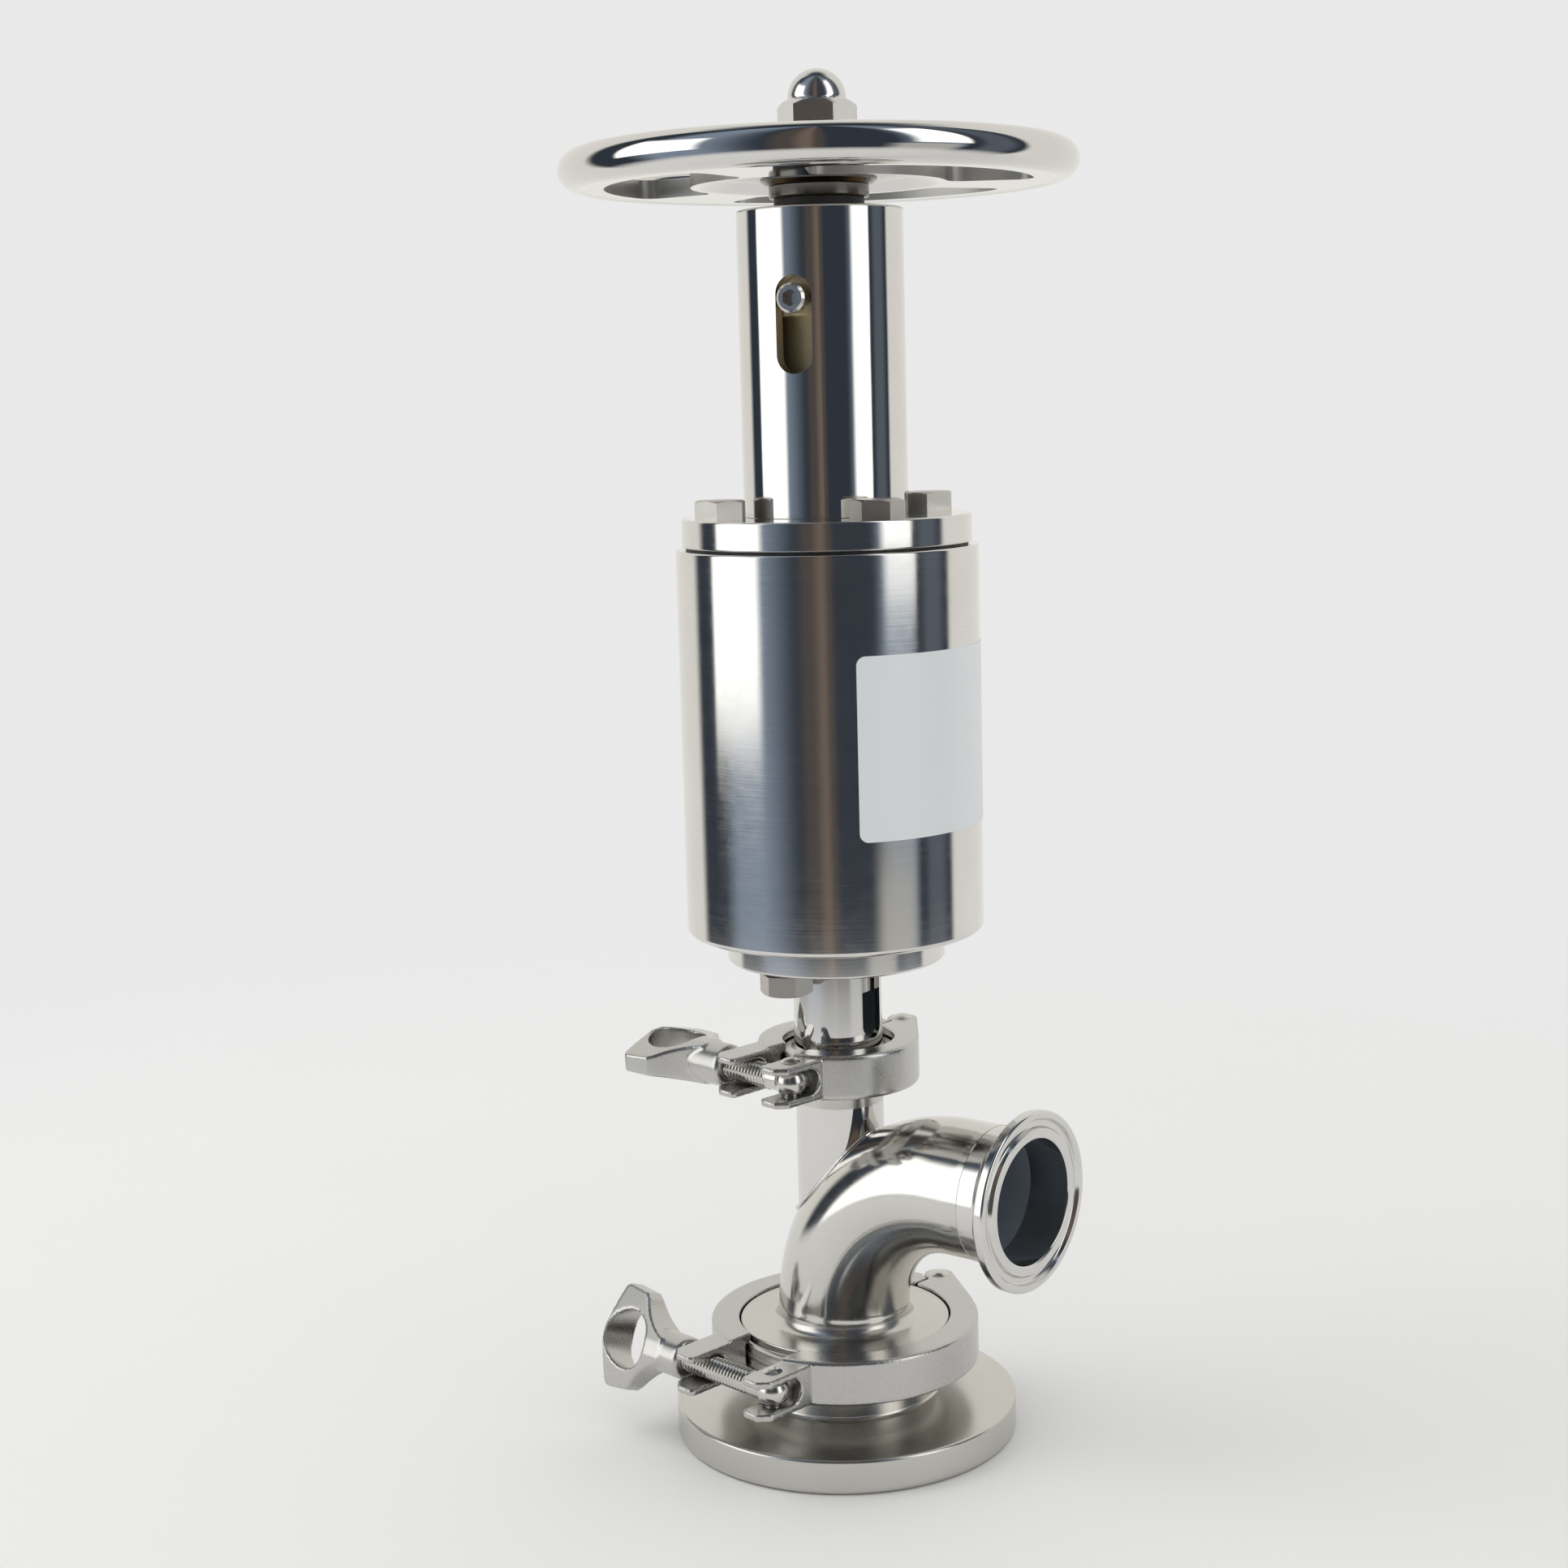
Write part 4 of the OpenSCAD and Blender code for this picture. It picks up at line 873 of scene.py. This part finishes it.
def elbow_ring(centre, side, up, radius):
    """A ring of points round the elbow's centre line."""
    count = 96
    ring = []
    for k in range(count):
        turn = 2 * math.pi * k / count
        ring.append((centre + side * radius * math.cos(turn) + up * radius * math.sin(turn)) * MM)
    return ring


def elbow_path():
    """Places along the elbow: centre, the way to the outside of the bend, and length so far, in mm."""
    path = []
    steps = 96
    for i in range(steps + 1):
        turn = math.radians(90 * i / steps)
        out = Vector((-math.cos(turn), 0, math.sin(turn)))
        path.append((Vector((ELBOW_BEND, 0, ELBOW_FOOT)) + out * ELBOW_BEND, out, ELBOW_BEND * turn))
    stub_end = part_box("outlet_ferrule")[0][0] / MM
    straight = int((stub_end - ELBOW_BEND) / 0.8)
    for i in range(1, straight + 1):
        along = (stub_end - ELBOW_BEND) * i / straight
        place = Vector((ELBOW_BEND + along, 0, OUTLET_Z))
        path.append((place, Vector((0, 0, 1)), path[steps][2] + along))
    return path


def elbow_depth(point):
    """How far a point in mm lies under the outside of the elbow."""
    along = max(0, point.x - ELBOW_BEND)
    if along > 0:
        centre = Vector((point.x, 0, OUTLET_Z))
    else:
        out = Vector((point.x - ELBOW_BEND, 0, point.z - ELBOW_FOOT)).normalized()
        centre = Vector((ELBOW_BEND, 0, ELBOW_FOOT)) + out * ELBOW_BEND
    return PIPE_R - (point - centre).length


def make_elbow():
    """Polished elbow: the wall swells a little at the two ground welds."""
    path = elbow_path()
    total = path[-1][2]
    side = Vector((0, 1, 0))
    outer, inner = [], []
    for centre, out, run in path:
        swell = 0.22 * math.exp(-(run / 1.6) ** 2) + 0.12 * math.exp(-((total - run) / 1.4) ** 2)
        outer.append(elbow_ring(centre, side, out, PIPE_R + swell))
        inner.append(elbow_ring(centre, side, out, PIPE_BORE_R))
    shape = bmesh.new()
    grid_tube(shape, outer + inner[::-1], closed=True)
    piece = new_object("outlet_elbow_polished", shape)
    bore = bmesh.new()
    prism(bore, arc_points((0, 0), TUBE_BORE_R, 0, 350, 35), ELBOW_FOOT + ELBOW_BEND / 2, OUTLET_Z + PIPE_R)
    cut(piece, new_object("bore", bore))
    smooth(piece, 40)
    finish_piece(piece, "elbow", "housing", "polished_steel", "outlet_elbow")
    piece.data.materials.append(MATERIALS["bore"])
    for face in piece.data.polygons:
        if elbow_depth(face.center / MM) > 1.0:
            face.material_index = 1


def make_column_weld():
    """Bead where the column meets the outside of the elbow."""
    rings = []
    count, around = 180, 16
    for i in range(count):
        turn = 2 * math.pi * i / count
        x, y = TUBE_R * math.cos(turn), TUBE_R * math.sin(turn)
        crown = ELBOW_BEND + math.sqrt(PIPE_R ** 2 - y ** 2)
        height = ELBOW_FOOT + math.sqrt(crown ** 2 - (x - ELBOW_BEND) ** 2)
        out = Vector((math.cos(turn), math.sin(turn), 0))
        ripple = 1.05 + 0.05 * math.sin(turn * 70)
        centre = Vector((x, y, height - 0.1)) - out * 0.2
        rings.append([
            (centre + out * ripple * math.cos(a) + Vector((0, 0, 1)) * ripple * math.sin(a)) * MM
            for a in (2 * math.pi * k / around for k in range(around))])
    shape = bmesh.new()
    grid_tube(shape, rings, closed=True)
    piece = new_object("column_weld_bead", shape)
    smooth(piece, 60)
    finish_piece(piece, "turned", "housing", "polished_steel")


make_elbow()
make_column_weld()


# ---------------------------------------------------------------- handwheel and cap nut

# Directions of the three spokes, in degrees, and heights of the web between them
WHEEL_SPOKES = (50, 170, 290)
WEB_BOTTOM = 355.8
WEB_TOP = 361
# Inner and outer radius of the openings in the web
OPENING_IN = 35
OPENING_OUT = 58.5
# Direction of one of the cap nut's corners, in degrees
CAP_NUT_TURN = -28.5
STUD_R = 6


def wheel_opening(turn):
    """Outline of one opening in the web, between two spokes, with rounded corners, run anticlockwise."""
    corner, half = 5, 45.5
    inner_turn = half - math.degrees(math.asin(corner / (OPENING_IN + corner)))
    outer_turn = half - math.degrees(math.asin(corner / (OPENING_OUT - corner)))
    inner_corner = polar(OPENING_IN + corner, inner_turn)
    outer_corner = polar(OPENING_OUT - corner, outer_turn)
    upper = arc_points((0, 0), OPENING_OUT, 0, outer_turn, 24)
    upper += arc_points(outer_corner, corner, outer_turn, half + 90, 10)[1:]
    upper += arc_points(inner_corner, corner, half + 90, inner_turn + 180, 10)
    upper += arc_points((0, 0), OPENING_IN, inner_turn, 0, 20)[1:]
    lower = [(x, -y) for x, y in upper[-2:0:-1]]
    c, s = polar(1, turn)
    return [(x * c - y * s, x * s + y * c) for x, y in upper + lower]


def make_handwheel():
    """Round rim, web with three openings, and hub. The openings' walls are machined, the rest polished."""
    rim, rim_z = 5.3, 360.73
    wheel = radius_of("handwheel") - rim
    bore = 8
    hub_bottom, hub_top = heights_of("lock_ring")[1], heights_of("wheel_washer")[0]
    shape = bmesh.new()
    lathe(shape, rounded([
        (bore, hub_bottom, 0), (28, hub_bottom, 6), (33, WEB_BOTTOM, 3), (wheel, WEB_BOTTOM, 0),
        (wheel, WEB_TOP, 0), (26, WEB_TOP, 12), (17, hub_top, 1.2), (bore, hub_top, 0)]), 192)
    piece = new_object("handwheel_polished", shape)
    for spoke in WHEEL_SPOKES:
        tool = bmesh.new()
        prism(tool, wheel_opening(spoke + 60), 340, 380)
        cut(piece, new_object("opening", tool))
    ring = bmesh.new()
    lathe(ring, arc_points((wheel, rim_z), rim, 0, 352.5, 47), 192)
    cut(piece, new_object("ring", ring), "UNION")
    weld(piece, 0.01)
    soften(piece, 0.5, 50, 3)
    settle(piece)
    weld(piece, 0.004)
    smooth(piece, 40)
    finish_piece(piece, "mirror", "handwheel_set", "polished_steel", "handwheel")
    piece.data.materials.append(MATERIALS["machined"])
    for face in piece.data.polygons:
        away = math.hypot(face.center.x, face.center.y) / MM
        upright = abs(face.normal.z) < 0.5
        if upright and 34 < away < 59:
            face.material_index = 1


def make_cap_nut():
    """Domed nut: a hexagon with turned corners, a round crown on it, and a bore for the stud."""
    bottom, top = heights_of("cap_nut")
    flats, hex_top, dome = 19, 378.1, 8
    corner = flats / math.sqrt(3)
    shape = bmesh.new()
    turns = [math.radians(CAP_NUT_TURN + 60 * k) for k in range(6)]
    prism(shape, [(corner * math.cos(t), corner * math.sin(t)) for t in turns], bottom, hex_top)
    piece = new_object("cap_nut_domed", shape)
    turning = bmesh.new()
    lathe(turning, [
        (0, bottom), (flats / 2 - 0.3, bottom), (corner + 0.4, bottom + 1), (corner + 0.4, hex_top - 1.9),
        (flats / 2 - 0.3, hex_top), (0, hex_top)], 96)
    cut(piece, new_object("turning", turning), "INTERSECT")
    soften(piece, 0.3, 25, 2)
    settle(piece)
    crown = bmesh.new()
    side = [(0, hex_top - 1), (dome + 0.5, hex_top - 1), (dome + 0.4, hex_top), (dome, hex_top + 0.6)]
    lathe(crown, side + arc_points((0, top - dome), dome, 4, 90, 24), 96)
    cut(piece, new_object("crown", crown), "UNION")
    bore = bmesh.new()
    lathe(bore, [(0, bottom - 1), (STUD_R, bottom - 1), (STUD_R, hex_top + 2), (0, hex_top + 2)], 64)
    cut(piece, new_object("bore", bore))
    smooth(piece, 30)
    finish_piece(piece, "capped", "handwheel_set", "polished_steel", "cap_nut")


make_handwheel()
make_cap_nut()


# ---------------------------------------------------------------- label, spring and diaphragm

def make_label():
    """Blank film label wrapped round the cylinder, with rounded corners and no printing."""
    radius = radius_of("actuator_cylinder")
    start, span, corner, thickness = -42.4, 95, 2.5, 0.14
    low, high = heights_of("rating_label")
    length = math.radians(span) * radius
    columns = [corner * (1 - math.cos(math.radians(9 * k))) for k in range(11)]
    columns += [corner + (length - 2 * corner) * k / 80 for k in range(1, 80)]
    columns += [length - c for c in reversed(columns[:11])]
    rings = []
    for across in columns:
        inset = max(0, corner - min(across, length - across))
        trim = corner - math.sqrt(max(0, corner ** 2 - inset ** 2)) * 0.999
        turn = math.radians(start) + across / radius
        way = Vector((math.cos(turn), math.sin(turn), 0))
        rings.append([
            (way * r + Vector((0, 0, h))) * MM
            for r, h in (
                (radius + 0.01, low + trim), (radius + thickness, low + trim),
                (radius + thickness, high - trim), (radius + 0.01, high - trim))])
    shape = bmesh.new()
    grid_tube(shape, rings)
    piece = new_object("blank_label", shape)
    smooth(piece, 30)
    finish_piece(piece, "film", "housing", "label_film", "rating_label")


def make_spring():
    """Round-wire spring between the piston and the end plate."""
    bottom, top = heights_of("return_spring")
    wire, turns, per_turn, around = 3.5, 4.5, 72, 20
    skin = wire * 0.99
    coil = radius_of("return_spring") - wire
    low, high = bottom + wire, top - wire
    steps = int(turns * per_turn)
    rings = []
    for i in range(steps + 1):
        turn = 2 * math.pi * i / per_turn
        height = low + (high - low) * i / steps
        way = Vector((math.cos(turn), math.sin(turn), 0))
        rings.append([
            (way * (coil + skin * math.cos(a)) + Vector((0, 0, height + skin * math.sin(a)))) * MM
            for a in (2 * math.pi * k / around for k in range(around))])
    shape = bmesh.new()
    grid_tube(shape, rings)
    piece = new_object("coil_spring", shape)
    smooth(piece, 60)
    paint(piece, "spring")
    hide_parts("return_spring")
    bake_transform(piece)


def make_diaphragm():
    """Sleeve with folds in its upper part."""
    bottom, top = heights_of("diaphragm")
    flange = radius_of("diaphragm")
    stem = radius_of("valve_stem")
    bore, wall = stem + 0.7, stem + 2.3
    folds, first_fold, fold_pitch, fold_r = 6, 82, 4, 1.2
    outline = [(bore, bottom), (wall, bottom)]
    for i in range(folds):
        outline += arc_points((wall, first_fold + fold_pitch * i), fold_r, -80, 80, 8)
    outline += [
        (wall, top - 4), (stem + 4.5, top - 1.6), (flange - 0.3, top - 1.4), (flange, top - 1.1),
        (flange, top - 0.3), (flange - 0.3, top), (bore, top)]
    shape = bmesh.new()
    lathe(shape, outline, 96)
    piece = new_object("sleeve_diaphragm", shape)
    smooth(piece, 50)
    paint(piece, "moulded")
    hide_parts("diaphragm")
    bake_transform(piece)


make_label()
make_spring()
make_diaphragm()


# ---------------------------------------------------------------- floor and light

# Radius and height of the floor in metres, and where it starts and ends fading out
FLOOR_R = 2.0
FLOOR_Z = -0.0002
FADE_FROM = 0.35
FADE_TO = 0.75


def make_floor():
    """A pale round floor that fades into the background towards its edge."""
    mesh = bpy.data.meshes.new("floor")
    shape = bmesh.new()
    bmesh.ops.create_circle(shape, cap_ends=True, segments=96, radius=FLOOR_R)
    shape.to_mesh(mesh)
    shape.free()
    floor = bpy.data.objects.new("floor", mesh)
    SCENE.collection.objects.link(floor)
    floor.location.z = FLOOR_Z
    material, g, shader = new_material("floor")
    point = g.add("ShaderNodeTexCoord").outputs["Object"]
    away = g.add("ShaderNodeVectorMath", {0: point}, operation="LENGTH").outputs["Value"]
    mottle = noise(g, point, 9, 3)
    g.set(shader.inputs["Base Color"], g.mix(mottle, (0.775, 0.774, 0.772, 1), (0.79, 0.789, 0.787, 1)))
    shader.inputs["Roughness"].default_value = 0.9
    shader.inputs["Specular IOR Level"].default_value = 0.1
    g.set(shader.inputs["Alpha"], g.step(away, FADE_TO, FADE_FROM))
    mesh.materials.append(material)


def make_light(name, place, aim, size, power):
    data = bpy.data.lights.new(name, "AREA")
    data.shape = "DISK"
    data.size = size
    data.energy = power
    lamp = bpy.data.objects.new(name, data)
    SCENE.collection.objects.link(lamp)
    lamp.location = place
    lamp.rotation_euler = (Vector(aim) - Vector(place)).to_track_quat("-Z", "Y").to_euler()
    lamp.visible_glossy = False
    lamp.visible_camera = False


make_floor()
make_light("key_light", (-0.9, -0.7, 1.5), (0, 0, 0.15), 1.2, 6)
